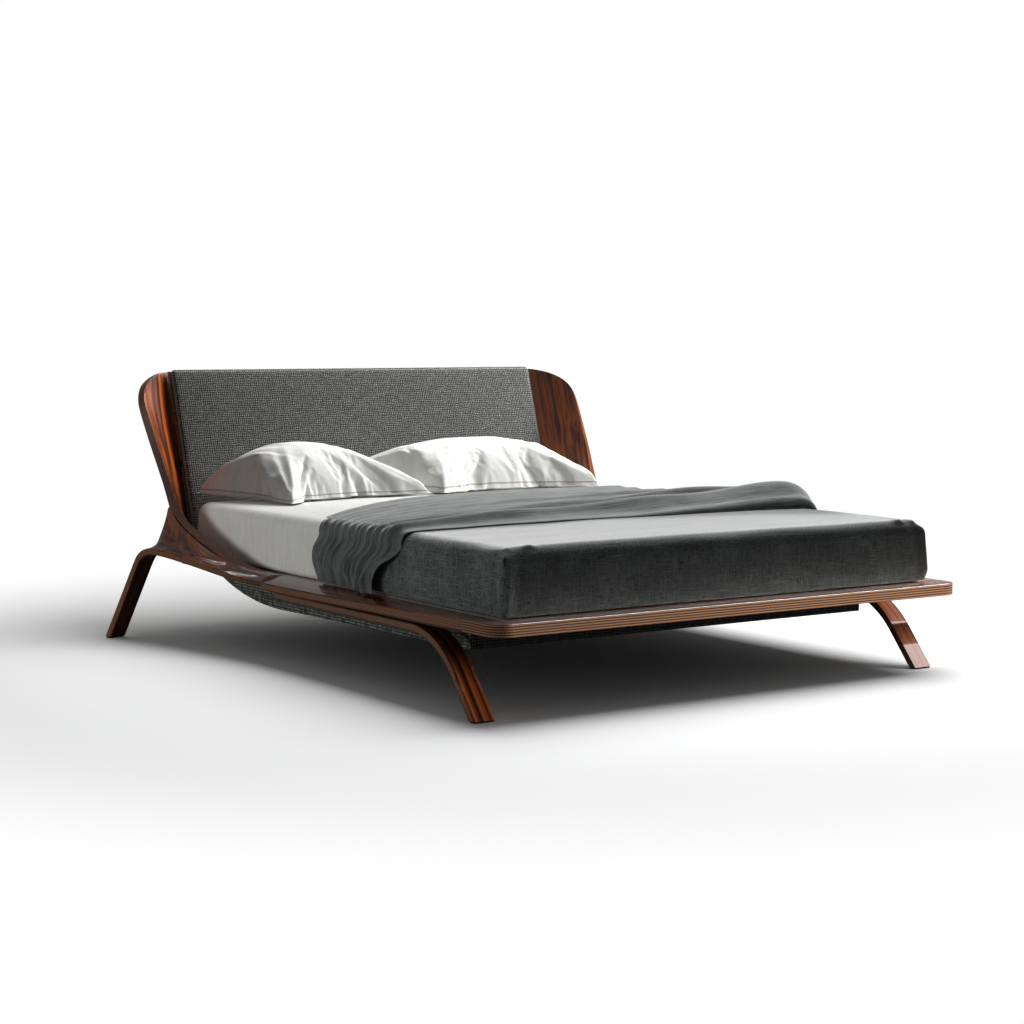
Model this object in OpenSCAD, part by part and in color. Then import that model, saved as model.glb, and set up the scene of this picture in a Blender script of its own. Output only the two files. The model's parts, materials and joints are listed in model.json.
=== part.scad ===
// Low sleigh bed in moulded plywood: a thin platform whose sides flare out and turn down
// into rear legs, a winged shell that rises from it around a hung, upholstered headboard,
// bent front legs on long rails, a shallow fabric-covered box with sprung slats, and a
// made-up mattress.  X runs across the bed, the foot end is at -Y, and Z is up from the floor.

/* [Mattress] */
// Width of the mattress
mattress_w = 1582; // [1480:2:1700]
// Length of the mattress
mattress_l = 1984; // [1900:2:2090]
// Thickness of the mattress
mattress_h = 188; // [150:1:220]
// Thickness of the fitted sheet
sheet_t = 3; // [2:0.5:5]
// Thickness of the coverlet
coverlet_t = 6; // [3:0.5:10]
// Length of the foot part that the coverlet covers
coverlet_l = 620; // [500:10:900]
// Thickness of one layer of the throw
throw_t = 9; // [6:0.5:14]
// Length of the bed that the throw crosses at its left side
throw_l = 580; // [400:10:640]
// How far the throw laps over the coverlet
throw_lap = 120; // [60:5:200]
// Height of the throw's folded ridge
throw_ridge = 56; // [30:1:80]
// How far the throw hangs down each side
throw_drop = 191; // [80:1:192]

/* [Pillows] */
// Width of a pillow
pillow_w = 730; // [600:5:750]
// Depth of a pillow
pillow_l = 430; // [400:5:490]
// Thickness of a pillow at its middle
pillow_h = 215; // [140:1:230]
// Tilt of a pillow towards the headboard, in degrees
pillow_tilt = 5; // [0:1:8]
// Turn of the pillows seen from above, in degrees
pillow_turn = 4; // [0:1:6]
// Distance from the mattress's head end to the middle of a pillow
pillow_back = 162; // [150:1:300]
// Height of a pillow's middle plane above the sheet
pillow_lift = 28.3; // [24:0.1:50]

/* [Platform] */
// Height of the platform's top above the floor
deck_z = 286; // [270:1:320]
// Thickness of the platform
deck_t = 36; // [30:1:40]
// Margin of platform beyond the covered mattress at the sides
side_margin = 76; // [60:1:90]
// Margin of platform beyond the covered mattress at the foot
foot_margin = 76; // [60:1:90]
// Length of the foot board of the platform
foot_board_l = 172; // [150:1:220]
// Radius of the platform's foot corners
corner_r = 60; // [40:1:130]
// Width of each side deck bar under the mattress
deck_bar_w = 103; // [80:1:130]
// Thickness of the side margin's outer edge along the middle of the bed
edge_t = 24; // [22:1:30]
// How far the side edge droops below the platform's top
edge_droop = 20; // [5:1:24]

/* [Shell] */
// Rake of the headboard, in degrees
rake = 17.2; // [12:0.1:20]
// Height of the shell's top above the floor
shell_z = 933; // [850:1:1000]
// Thickness of the wings and of the back panel
shell_t = 25; // [20:1:28]
// Half the width of the flat back panel
panel_half_w = 771; // [740:1:790]
// Distance from the side of the flat back panel out to the line that the wings start from
wing_set = 29; // [20:1:40]
// Distance from the pad's face back to the shell, across the pad
pad_depth = 53.5; // [48:0.5:60]
// Outward bulge of a wing between its root and its rim, as a part of its width
wing_bulge = 0.005; // [0:0.001:0.06]

/* [Legs] */
// Width of a leg
leg_w = 68; // [55:1:80]
// Thickness of a leg
leg_t = 22; // [18:1:28]
// Lean of the front legs from the vertical, in degrees
front_lean = 40; // [30:1:45]
// Inside radius of the front legs' bend
front_bend_r = 289; // [200:1:320]
// Distance from the platform's front edge back to where the front bend starts
front_bend_back = 460; // [440:1:520]
// Distance from the front bend back to the rail's end
rail_l = 850; // [600:5:900]
// Gap between the rail's top and the platform
rail_gap = 10; // [6:1:16]
// How far the rail lies inside the platform's edge
rail_inset = 6; // [1:1:20]
// Lean of the rear legs from the vertical, in degrees
rear_lean = 29.5; // [20:0.5:36]
// Toe-out of the rear legs, in degrees
rear_toe = 18; // [5:1:25]
// Inside radius of the rear legs' bend
rear_bend_r = 66; // [50:1:90]
// Thickness of the glides under the feet
glide_t = 5; // [3:0.5:10]

/* [Box] */
// Width of the blocks between the box and the rails
rail_block_w = 52; // [40:1:60]
// Length of a rail block along the rail
rail_block_l = 70; // [50:5:90]
// Distance from each end of the rail to the middle of its block
rail_block_end = 60; // [45:5:90]
// Thickness of the box's panels
box_t = 26; // [18:1:30]
// Depth of the box below the platform at its foot end
box_foot_h = 78; // [60:1:85]
// Depth of the box below the platform at its middle
box_mid_h = 95; // [70:1:105]
// Distance from the mattress's head end forward to the box's rear edge
box_head_gap = 55; // [40:5:90]
// Length of the box's rear part, over which its underside rises
box_rise_l = 514; // [400:2:600]
// Distance from the platform's front edge back to the box
box_setback = 327; // [280:1:420]
// Thickness of the box's bottom board
box_bottom_t = 6; // [4:0.5:12]
// Thickness of the box's fabric cover
cover_t = 2; // [1:0.5:4]

/* [Slats] */
// Number of slats in each row
slat_count = 13; // [10:1:15]
// Width of a slat
slat_w = 68; // [50:1:80]
// Thickness of a slat
slat_t = 12; // [8:1:14]
// Width of the centre beam
beam_w = 60; // [50:1:90]
// Depth of the centre beam
beam_h = 58; // [40:1:64]
// Width of a slat ledger
ledger_w = 52; // [40:1:60]
// Thickness of a slat ledger
ledger_t = 24; // [18:1:30]
// Width of the corner blocks at the box's foot end
corner_block_w = 40; // [25:1:60]

/* [Headboard] */
// How far the pad reaches past the back panel at each side
pad_overhang = 5; // [0:0.5:7]
// Height of the pad's top above the floor
pad_z = 940; // [860:1:1010]
// Gap between the pad's back and the shell, where the cleats are
cleat_gap = 8.5; // [7:0.5:12]
// Thickness of the pad's board
pad_board_t = 12; // [9:1:18]
// Corner radius of the pad
pad_corner_r = 14; // [10:1:40]
// Diameter of the piping round the pad's face
piping_d = 5; // [3:0.5:7]

/* [Hardware] */
// Diameter of the rail bolts
bolt_d = 8; // [6:1:10]
// Diameter of the wood screws
screw_d = 5; // [3:0.5:6]
// Thickness of the steel brackets and hangers
steel_t = 3; // [2:0.5:4]

/* [Clearances] */
// Gap between soft pieces and what moves past them
soft_gap = 0.5; // [0.3:0.1:1]
// Gap between a moulded sheet and its neighbour
glue_gap = 0.4; // [0.2:0.1:0.6]
// Gap between a wing's rim and the side sheet's edge beside it
seam_gap = 1.6; // [0.8:0.1:2]
// How far behind the wing the side sheet's mitred edge starts
mitre_gap = 4.5; // [4:0.1:6]
// Gap around a piece that lifts out
lift_gap = 0.4; // [0.3:0.1:0.8]
// Smoothness of the round pieces
$fn = 48; // [24:4:96]

/* [Hidden] */

WOOD = "#6b4028";
DARK_WOOD = "#4a2c1d";
BEECH = "#c9a77a";
TWEED = "#4e5150";
STEEL = "#a9adb0";
PLASTIC = "#232323";
LINEN = "#e9e9e6";

// the covered mattress
soft_half_w = mattress_w / 2 + sheet_t + coverlet_t;
// the shell and the platform clear both the covered mattress and the back panel
body_half_w = max(soft_half_w, panel_half_w + wing_set);
head_slack = 5;
head_y = mattress_l / 2 + sheet_t + head_slack;
foot_y = -mattress_l / 2 - sheet_t - coverlet_t;
mattress_top = deck_z + mattress_h;
sheet_top = mattress_top + sheet_t;
coverlet_top = sheet_top + coverlet_t;

// the platform
deck_bottom = deck_z - deck_t;
root_gap = 3;
root_x = body_half_w + root_gap;
deck_bar_x = root_x - deck_bar_w;
edge_x = body_half_w + side_margin;
front_y = foot_y - foot_margin;
foot_joint_y = front_y + foot_board_l;
head_board_l = 200;

// the shell: the plane of its front face leans back by the rake
head_gap = 9;
slope = tan(rake);
shell_foot_y = head_y + head_gap + pad_depth / cos(rake);
function shell_y(z) = shell_foot_y + slope * (z - deck_z);
deck_end_y = shell_y(deck_z) + shell_t / cos(rake);
rear_y = shell_y(shell_z) + shell_t * cos(rake);
y_mid = (front_y + rear_y) / 2;

// the front legs
rail_out = edge_x - rail_inset;
rail_in = rail_out - leg_w;
rail_top = deck_bottom - rail_gap;
rail_bottom = rail_top - leg_t;
front_bend_y = front_y + front_bend_back;
rail_end_y = front_bend_y + rail_l;
front_turn = 90 - front_lean;

// the box
box_half_w = rail_in - rail_block_w - cover_t;
box_in = box_half_w - box_t;
box_y = front_y + box_setback;
box_rear_y = head_y - box_head_gap;

// smoothness of the moulded sheets
rim_steps = 3;
wing_cols = 8;
sheet_cols = 7;

// ---------- small functions ----------
function unit(v) = v / norm(v);
function lerp(a, b, t) = a + (b - a) * t;
function smooth(a, b, t) = let (u = min(1, max(0, (t - a) / (b - a)))) u * u * (3 - 2 * u);
function bezier(a, b, c, d, t) =
    pow(1 - t, 3) * a + 3 * pow(1 - t, 2) * t * b + 3 * (1 - t) * t * t * c + pow(t, 3) * d;

// a smooth curve through the points p, at t = 0 .. len(p) - 1
function through(p, t) =
    let (n = len(p) - 1, i = min(n - 1, floor(t)), u = t - i,
         a = i > 0 ? p[i - 1] : 2 * p[0] - p[1], b = p[i], c = p[i + 1],
         d = i < n - 1 ? p[i + 2] : 2 * p[n] - p[n - 1])
    0.5 * (2 * b + (c - a) * u + (2 * a - 5 * b + 4 * c - d) * u * u
           + (3 * b - a - 3 * c + d) * u * u * u);

function reversed(p) = [for (i = [len(p) - 1:-1:0]) p[i]];

// unit normals of a grid of points
function grid_normals(g) =
    let (n = len(g) - 1, m = len(g[0]) - 1)
    [for (i = [0:n]) [for (j = [0:m])
        let (du = g[min(n, i + 1)][j] - g[max(0, i - 1)][j],
             dv = g[i][min(m, j + 1)] - g[i][max(0, j - 1)])
        unit(cross(dv, du))]];

// a closed sheet between two grids of the same size; face is the grid on the normals' side
module sheet(face, back) {
    n = len(face);
    m = len(face[0]);
    points = [for (g = [face, back]) for (row = g) for (p = row) p];
    function id(k, i, j) = k * n * m + i * m + j;
    faces = concat(
        [for (i = [0:n - 2]) for (j = [0:m - 2]) for (f = [
            [id(0, i, j), id(0, i + 1, j), id(0, i, j + 1)],
            [id(0, i + 1, j), id(0, i + 1, j + 1), id(0, i, j + 1)],
            [id(1, i, j), id(1, i, j + 1), id(1, i + 1, j)],
            [id(1, i + 1, j), id(1, i, j + 1), id(1, i + 1, j + 1)]]) f],
        [for (i = [0:n - 2]) for (f = [
            [id(0, i, 0), id(1, i, 0), id(0, i + 1, 0)],
            [id(1, i, 0), id(1, i + 1, 0), id(0, i + 1, 0)],
            [id(0, i, m - 1), id(0, i + 1, m - 1), id(1, i, m - 1)],
            [id(1, i, m - 1), id(0, i + 1, m - 1), id(1, i + 1, m - 1)]]) f],
        [for (j = [0:m - 2]) for (f = [
            [id(0, 0, j), id(0, 0, j + 1), id(1, 0, j)],
            [id(1, 0, j), id(0, 0, j + 1), id(1, 0, j + 1)],
            [id(0, n - 1, j), id(1, n - 1, j), id(0, n - 1, j + 1)],
            [id(1, n - 1, j), id(1, n - 1, j + 1), id(0, n - 1, j + 1)]]) f]);
    polyhedron(points, faces);
}

// the whole bed stands with its middle over the origin
module placed() translate([0, -y_mid, 0]) children();
module left() mirror([1, 0, 0]) children();
module both() { children(); left() children(); }
// an outline drawn in the (Y, Z) plane and pulled along X
module across(x0, x1) translate([x0, 0, 0]) rotate([90, 0, 90]) linear_extrude(x1 - x0) children();
// a frame on the shell's front face: Z runs up the face, Y goes back through it
module on_shell(z = deck_z) translate([0, shell_y(z), z]) rotate([-rake, 0, 0]) children();
module block(x0, x1, y0, y1, z0, z1) translate([x0, y0, z0]) cube([x1 - x0, y1 - y0, z1 - z0]);

// ---------- wings ----------
// points of a wing's rim, on its inner face: out from the deck, along from the head, up
rim_low = [[43, -700, 2], [50, -538, 22], [64, -387, 56], [80, -230, 104], [91, -120, 156],
           [97, -62, 224]];
// higher points: out from the deck, forward of the shell's plane, down from the shell's top
rim_high = [[110, 176, 322], [121, 153, 223], [130, 131, 125], [127, 122, 83], [105, 105, 45],
            [63, 79, 19], [22, 45, 6], [2, 24, 2]];
rim = concat(
    [for (p = rim_low) [body_half_w + p[0], head_y + p[1], deck_z + p[2]]],
    [for (p = rim_high) [body_half_w + p[0], shell_y(shell_z - p[2]) - p[1], shell_z - p[2]]]);

// the root that faces each point of the rim: along the deck, then up the back panel
root_low = [-700, -540, -390, -240, -100];
root_high = [0.11, 0.33, 0.54, 0.66, 0.77, 0.87, 0.94, 0.998];
function panel_root(f) =
    let (z = lerp(deck_z, shell_z, f)) [panel_half_w, shell_y(z), z];
root = concat(
    [for (y = root_low) [root_x + glue_gap, head_y + y, deck_z]],
    [[root_x + 1, head_y + 38, deck_z + 14]],
    [for (f = root_high) panel_root(f)]);

// inner face of a wing, from its root (s = 0) to its rim (s = 1)
function root_point(t) = let (p = through(root, t)) [max(panel_half_w, p[0]), p[1], p[2]];
function wing_point(t, s) =
    let (a = root_point(t), b = through(rim, t),
         d = 0.05, along = through(rim, min(len(rim) - 1, t + d)) - through(rim, max(0, t - d)),
         inward = unit(cross(b - a, along)))
    lerp(a, b, s) - inward * norm(b - a) * wing_bulge * 4 * s * (1 - s);

wing_ts = [for (i = [0:(len(rim) - 1) * rim_steps]) i / rim_steps];
wing_face = [for (t = wing_ts) [for (j = [0:wing_cols]) wing_point(t, j / wing_cols)]];
// the rim turns across the bed at the top, so the normals there follow the root's direction
function wing_normal(i, j) =
    let (t = wing_ts[i], d = 0.05, n = len(rim) - 1, lo = max(0, t - d), hi = min(n, t + d),
         up = unit(through(root, hi) - through(root, lo)),
         along = unit(through(rim, hi) - through(rim, lo)),
         du = lerp(up, along, (1 - smooth(8, 11, t)) * j / wing_cols),
         dv = wing_face[i][min(wing_cols, j + 1)] - wing_face[i][max(0, j - 1)])
    unit(cross(dv, du));
wing_normals = [for (i = [0:len(wing_ts) - 1]) [for (j = [0:wing_cols]) wing_normal(i, j)]];
wing_back = [for (i = [0:len(wing_face) - 1]) [for (j = [0:wing_cols])
    wing_face[i][j] - shell_t * wing_normals[i][j]]];

module wing() color(WOOD) sheet(wing_face, wing_back);

// ---------- platform side: deck bar, margin, saddle and rear leg ----------
knee_step = 14;
last_wing = len(wing_face) - 1;

// outer top edge, ahead of the wing: out from the edge, along from the head, share of the droop
edge_ahead = [[0, -1896, 0.05], [0, -1700, 0.3], [0, -1480, 0.6], [0, -1240, 0.85], [2, -950, 1],
              [6.5, -800, 1], [10.7, -704, 0.97]];
// outer top edge beside the wing: out from the edge, along from the head, above the deck
edge_beside = [[11, -700, -19], [33, -555, -10], [57, -410, 9], [81, -265, 27],
               [112, -152, 42], [135, -100, 46]];
function edge_point(t) =
    let (p = through(edge_beside, t)) [edge_x + p[0], head_y + p[1], deck_z + p[2]];

function edge_at(i) = edge_point(5 * i / knee_step);
knee = edge_at(knee_step);
leg_dir = [sin(rear_toe), cos(rear_toe), 0];
leg_in = [-cos(rear_toe), sin(rear_toe), 0];
rear_turn = 90 - rear_lean;
rear_out_r = rear_bend_r + leg_t;

// the leg's outer face, at angle a round the bend, then g along its straight part
function leg_edge(a, g) =
    knee + leg_dir * (rear_out_r * sin(a) + g * cos(a))
    - [0, 0, rear_out_r * (1 - cos(a)) + g * sin(a)];
straight_l = (knee[2] - rear_out_r * (1 - cos(rear_turn)) - glide_t) / sin(rear_turn);

// the valley where the side sheet meets the rim, hidden part of the rim first
function hidden(i) = shell_t * (1 - smooth(0, 7, i));
function valley(i) =
    let (m = wing_cols, c = wing_back[i][m], r = wing_face[i][m])
    c + (r - c) * hidden(i) / shell_t
    - seam_gap * unit(wing_face[i][m - 1] - r) - mitre_gap * smooth(0, 5, i) * wing_normals[i][m];

// saddle profile from the valley (s = 0) out to the edge (s = 1)
function saddle(v, e, dip, s) =
    let (d = e - v,
         b = v + [d[0] * lerp(0.35, 0.04, dip), d[1] * 0.33, d[2] * lerp(0.1, 0.6, dip)],
         c = v + [d[0] * lerp(0.7, 0.3, dip), d[1] * 0.66, d[2] * lerp(0.5, 0.97, dip)])
    bezier(v, b, c, e, s);

function ahead_row(k) =
    let (p = edge_ahead[k], y = k == 0 ? foot_joint_y : head_y + p[1],
         v = [root_x, y, deck_z], e = [edge_x + p[0], y, deck_z - edge_droop * p[2]])
    [for (j = [0:sheet_cols]) saddle(v, e, 0, j / sheet_cols)];

function beside_row(i) =
    [for (j = [0:sheet_cols])
        saddle(valley(i), edge_at(i), smooth(2, 9, i), j / sheet_cols)];

// over the knee the sheet narrows from the saddle to the leg's own width
turn_steps = 6;
function knee_row(k) =
    let (a = rear_turn * k / turn_steps, e = leg_edge(a, 0), in = e + leg_in * leg_w,
         v = valley(knee_step), w = smooth(0, 1, k / turn_steps),
         p = bezier(v, v + [6, 14, -58], leg_edge(rear_turn, 0) + leg_in * leg_w + [-14, -34, 58],
                    leg_edge(rear_turn, 0) + leg_in * leg_w, k / turn_steps))
    [for (j = [0:sheet_cols])
        let (s = j / sheet_cols) lerp(saddle(p, e, 1, s), lerp(in, e, s), w)];

function leg_row(g) =
    let (e = leg_edge(rear_turn, g))
    [for (j = [0:sheet_cols]) lerp(e + leg_in * leg_w, e, j / sheet_cols)];

face_ahead = [for (k = [0:len(edge_ahead) - 1]) ahead_row(k)];
face_behind = concat(
    [for (i = [0:knee_step]) beside_row(i)],
    [for (k = [1:turn_steps]) knee_row(k)],
    [for (k = [1:3]) leg_row(straight_l * k / 3)]);
side_face = concat(face_ahead, face_behind);
side_normals = concat(grid_normals(face_ahead), grid_normals(face_behind));
rows_ahead = len(edge_ahead);
side_last = len(side_face) - 1;

// thickness at the inner side and at the outer edge of row i
function inner_t(i) = lerp(deck_t, leg_t, smooth(rows_ahead - 1, rows_ahead + 7, i));
function outer_t(i) =
    i < rows_ahead ? lerp(deck_t, edge_t, smooth(0, 3, i))
                   : lerp(edge_t, leg_t, smooth(rows_ahead, rows_ahead + 8, i));

// how the sheet ends at its inner side: square, down the rim, then mitred along the wing
function mitre(i) =
    let (k = i - rows_ahead, m = wing_cols,
         down = unit(wing_back[max(0, k)][m] - wing_face[max(0, k)][m]),
         along = unit(wing_back[max(0, k)][m - 1] - wing_back[max(0, k)][m]))
    k < 0 ? [0, 0, -1] : unit(lerp(down, along + 0.5 * down, smooth(6, 10, k)));

function back_point(i, j) =
    let (p = side_face[i][j], n = side_normals[i][j],
         t = lerp(inner_t(i), outer_t(i), smooth(0, 1, j / sheet_cols)),
         k = i - rows_ahead)
    i == side_last ? p - leg_dir * leg_t / cos(rear_lean)
    : i < rows_ahead ? [p[0], p[1], p[2] - t]
    : j == 0 && k <= knee_step ? p + mitre(i) * inner_t(i) * 1.05
    : p - n * t;
side_back = [for (i = [0:side_last]) [for (j = [0:sheet_cols]) back_point(i, j)]];

module platform_side() color(WOOD) {
    difference() {
        block(deck_bar_x, root_x, foot_joint_y, deck_end_y, deck_bottom, deck_z);
        for (y = screw_ys) translate([ledger_screw_x, y, deck_bottom - 1])
            cylinder(d = screw_d, h = screw_grip + 1);
    }
    sheet(side_face, side_back);
}

// foot board of the platform, with round corners
module platform_foot() color(WOOD)
    translate([0, 0, deck_bottom]) linear_extrude(deck_t) {
        translate([-edge_x, front_y + corner_r]) square([2 * edge_x, foot_board_l - corner_r]);
        translate([-edge_x + corner_r, front_y]) square([2 * (edge_x - corner_r), corner_r]);
        for (s = [-1, 1]) translate([s * (edge_x - corner_r), front_y + corner_r])
            circle(corner_r, $fn = 96);
    }

// boards that close the deck between its side bars, at the foot and at the head
module platform_infill() color(WOOD)
    block(-deck_bar_x, deck_bar_x, foot_joint_y, box_y + box_t, deck_bottom, deck_z);
module platform_head() color(WOOD)
    difference() {
        block(-deck_bar_x, deck_bar_x, deck_end_y - head_board_l, deck_end_y, deck_bottom, deck_z);
        for (x = bracket_xs) translate([x, bracket_screw_y, deck_z - screw_grip])
            cylinder(d = screw_d, h = screw_grip + 1);
    }

// ---------- back panel and its fittings ----------
module back_panel() color(WOOD)
    difference() {
        across(-panel_half_w + glue_gap, panel_half_w - glue_gap) polygon([
            [shell_y(deck_z), deck_z], [deck_end_y, deck_z],
            [rear_y, shell_z - shell_t * sin(rake)], [shell_y(shell_z), shell_z]]);
        for (x = bracket_xs) on_shell() translate([x, -1, bracket_hole])
            rotate([-90, 0, 0]) cylinder(d = screw_d, h = screw_grip + 1);
    }

bracket_xs = [-560, -190, 190, 560];
bracket_l = 48;
bracket_w = 40;
bracket_hole = 30;
screw_grip = 18;
bracket_screw_y = shell_y(deck_z) - bracket_hole;

// one angle bracket, standing on the deck against the raked panel
module back_brackets() color(STEEL)
    for (x = bracket_xs) difference() {
        across(x - bracket_w / 2, x + bracket_w / 2) polygon([
            [shell_y(deck_z), deck_z], [shell_y(deck_z) - bracket_l, deck_z],
            [shell_y(deck_z) - bracket_l, deck_z + steel_t],
            [shell_y(deck_z) - steel_t / cos(rake) + slope * steel_t, deck_z + steel_t],
            [shell_y(deck_z + bracket_l) - steel_t / cos(rake), deck_z + bracket_l],
            [shell_y(deck_z + bracket_l), deck_z + bracket_l]]);
        on_shell() translate([x, -steel_t - 1, bracket_hole]) rotate([-90, 0, 0])
            cylinder(d = screw_d, h = steel_t + 2);
        translate([x, bracket_screw_y, deck_z - 1]) cylinder(d = screw_d, h = steel_t + 2);
    }

// pan-head screws of the brackets, into the panel and down into the head board
module bracket_screws() color(STEEL)
    for (x = bracket_xs) {
        on_shell() translate([x, -steel_t, bracket_hole]) rotate([-90, 0, 0])
            screw(screw_grip + steel_t);
        translate([x, bracket_screw_y, deck_z + steel_t]) rotate([180, 0, 0])
            screw(screw_grip + steel_t);
    }
// a screw along +Z with its head below Z = 0
screw_head_h = 2.4;
screw_head_d = 1.9 * screw_d;
module screw(l) {
    cylinder(d = screw_d, h = l);
    translate([0, 0, -screw_head_h]) cylinder(d = screw_head_d, h = screw_head_h);
}

// ---------- hung headboard pad ----------
pad_half_w = panel_half_w + pad_overhang;
pad_t = pad_depth - cleat_gap;
pad_bottom = 18;
board_inset = 3;
pad_h = (pad_z - deck_z - pad_depth * sin(rake)) / cos(rake) - pad_bottom;
cleat_up = [190, 470];
cleat_h = 46;
cleat_t = cleat_gap - lift_gap;
cleat_end_gap = 151;
cleat_half_w = panel_half_w - cleat_end_gap;

// bevelled strip on the panel, bevel up and forward
module panel_cleats() color(BEECH)
    for (z = cleat_up) on_shell() across(-cleat_half_w, cleat_half_w)
        polygon([[0, z], [0, z + cleat_h - cleat_t], [-cleat_t, z + cleat_h], [-cleat_t, z]]);

// its mate on the pad's board, hooked over it
module pad_cleats() color(BEECH)
    for (z = cleat_up) on_shell() across(-cleat_half_w, cleat_half_w) polygon([
        [-cleat_gap, z + cleat_h + lift_gap * 2], [-lift_gap, z + cleat_h - cleat_t + lift_gap * 2],
        [-lift_gap, z + cleat_h + 34], [-cleat_gap, z + cleat_h + 34]]);

module pad_outline(inset) {
    r = pad_corner_r - inset;
    for (w = [[pad_half_w - inset, pad_h - 2 * pad_corner_r, pad_corner_r],
              [pad_half_w - pad_corner_r, pad_h - 2 * inset, inset]])
        translate([-w[0], w[2]]) square([2 * w[0], w[1]]);
    for (x = [-1, 1]) for (z = [pad_corner_r, pad_h - pad_corner_r])
        translate([x * (pad_half_w - pad_corner_r), z]) circle(r);
}
// a layer of the pad from y0 to y1 behind the pad's face
module pad_layer(y0, y1, inset)
    on_shell() translate([0, y1 - pad_depth, pad_bottom]) rotate([90, 0, 0])
        linear_extrude(y1 - y0) pad_outline(inset);

module pad_cushion() color(TWEED) pad_layer(0, pad_t - pad_board_t, 0);
module pad_board() color(BEECH) pad_layer(pad_t - pad_board_t, pad_t, board_inset);

// piping let into the edge between the pad's front and its side
module pad_piping() color("#8d8f8c")
    on_shell() translate([0, pad_t - pad_board_t - pad_depth - piping_d / 2 - 6, pad_bottom])
        rotate([90, 0, 0]) {
            w = pad_half_w + piping_d / 2;
            r = pad_corner_r + piping_d / 2;
            for (x = [-1, 1]) translate([x * w, pad_corner_r, 0]) rotate([-90, 0, 0])
                cylinder(d = piping_d, h = pad_h - 2 * pad_corner_r);
            translate([-pad_half_w + pad_corner_r, pad_h + piping_d / 2, 0]) rotate([0, 90, 0])
                cylinder(d = piping_d, h = 2 * (pad_half_w - pad_corner_r));
            for (s = [-1, 1]) translate([s * (pad_half_w - pad_corner_r), pad_h - pad_corner_r, 0])
                rotate([0, 0, s > 0 ? 0 : 90])
                rotate_extrude(angle = 90) translate([r, 0]) circle(d = piping_d);
        }

// small bumpers on the board's side edges that keep the pad from rattling against the wings
clip_l = 11;
clip_h = 26;
clip_up = 316;
module pad_side_clips() color(PLASTIC)
    both() on_shell() translate([pad_half_w - board_inset, -cleat_gap - pad_board_t, clip_up])
        cube([clip_l, pad_board_t - cleat_t / 2, clip_h]);

// ---------- front legs ----------
// the bent strap: rail, bend and straight leg
foot_out = front_bend_r + leg_t;
function front_point(r, a) =
    [front_bend_y - r * sin(a), rail_top - foot_out + r * cos(a)];
// where the straight part, carried on from radius r, reaches the glide
function front_foot(r) =
    let (p = front_point(r, front_turn), g = (p[1] - glide_t) / cos(front_lean))
    [p[0] - g * sin(front_lean), glide_t];

module front_leg() color(WOOD) {
    difference() {
        block(rail_in, rail_out, front_bend_y, rail_end_y, rail_bottom, rail_top);
        for (y = rail_block_ys) rail_bore(y, insert_d, rail_in - 1, insert_l + 1);
    }
    translate([rail_in, front_bend_y, rail_top - foot_out]) rotate([90, 0, 90]) rotate([0, 0, 90])
        rotate_extrude(angle = front_turn, $fn = 96) translate([front_bend_r, 0])
            square([leg_t, leg_w]);
    across(rail_in, rail_out) polygon([
        front_point(front_bend_r, front_turn), front_point(foot_out, front_turn),
        front_foot(foot_out), front_foot(front_bend_r)]);
}

// a hole across the rail at y, from x0 outward
module rail_bore(y, d, x0, l)
    translate([x0, y, rail_top - leg_t / 2]) rotate([0, 90, 0]) cylinder(d = d, h = l);

module front_glides() color(PLASTIC)
    both() block(rail_in + 2, rail_out - 2, front_foot(foot_out)[0] + 3,
                 front_foot(front_bend_r)[0] - 3, 0, glide_t);

module rear_glides() color(PLASTIC)
    both() {
        a = side_face[side_last][sheet_cols];
        t = leg_t / cos(rear_lean);
        translate([a[0], a[1], 0]) rotate([0, 0, -rear_toe])
            translate([-leg_w + 2, -t + 3, 0]) cube([leg_w - 4, t - 6, glide_t]);
    }

// ---------- box below the platform ----------
// underside of the box: a long shallow curve that sweeps up at the head, and the share of
// its rise at which the curve's two end slopes meet
keel_bend = 0.44;
function box_keel(d) = concat(
    [[box_y - d, deck_bottom - box_foot_h - d]],
    [for (k = [0:8]) let (u = k / 8, a = [box_rear_y - box_rise_l, deck_bottom - box_mid_h - d],
        b = [box_rear_y - keel_bend * box_rise_l, deck_bottom - box_mid_h - d],
        c = [box_rear_y + d, deck_bottom])
        (1 - u) * (1 - u) * a + 2 * u * (1 - u) * b + u * u * c]);
// the box's outline, d larger all round and with its top h above the platform's underside
module box_profile(d, h = 0)
    polygon(concat([[box_y - d, deck_bottom + h]], box_keel(d), [[box_rear_y + d, deck_bottom + h]]));

module box_side() color(DARK_WOOD)
    difference() {
        across(box_in, box_half_w) box_profile(0);
        for (y = rail_block_ys) rail_bore(y, bolt_d, box_in - 1, box_t + 2);
    }
module box_foot() color(DARK_WOOD)
    block(-box_in, box_in, box_y, box_y + box_t, deck_bottom - box_foot_h + box_bottom_t, deck_bottom);

// thin board that carries the cover along the box's underside
module box_bottom() color(DARK_WOOD)
    across(-box_in, box_in) polygon(concat(box_keel(0), reversed(box_keel(-box_bottom_t))));

module box_cover() color(TWEED)
    difference() {
        across(-box_half_w - cover_t, box_half_w + cover_t) box_profile(cover_t);
        across(-box_half_w, box_half_w) box_profile(0, 1);
        for (s = [0, 1]) mirror([s, 0, 0]) for (y = rail_block_ys)
            rail_bore(y, bolt_d, box_half_w - 1, cover_t + 2);
    }

module corner_blocks() color(BEECH)
    both() block(box_in - corner_block_w, box_in, box_y + box_t, box_y + box_t + corner_block_w,
                 deck_bottom - box_foot_h + box_bottom_t, deck_bottom - ledger_t);

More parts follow.
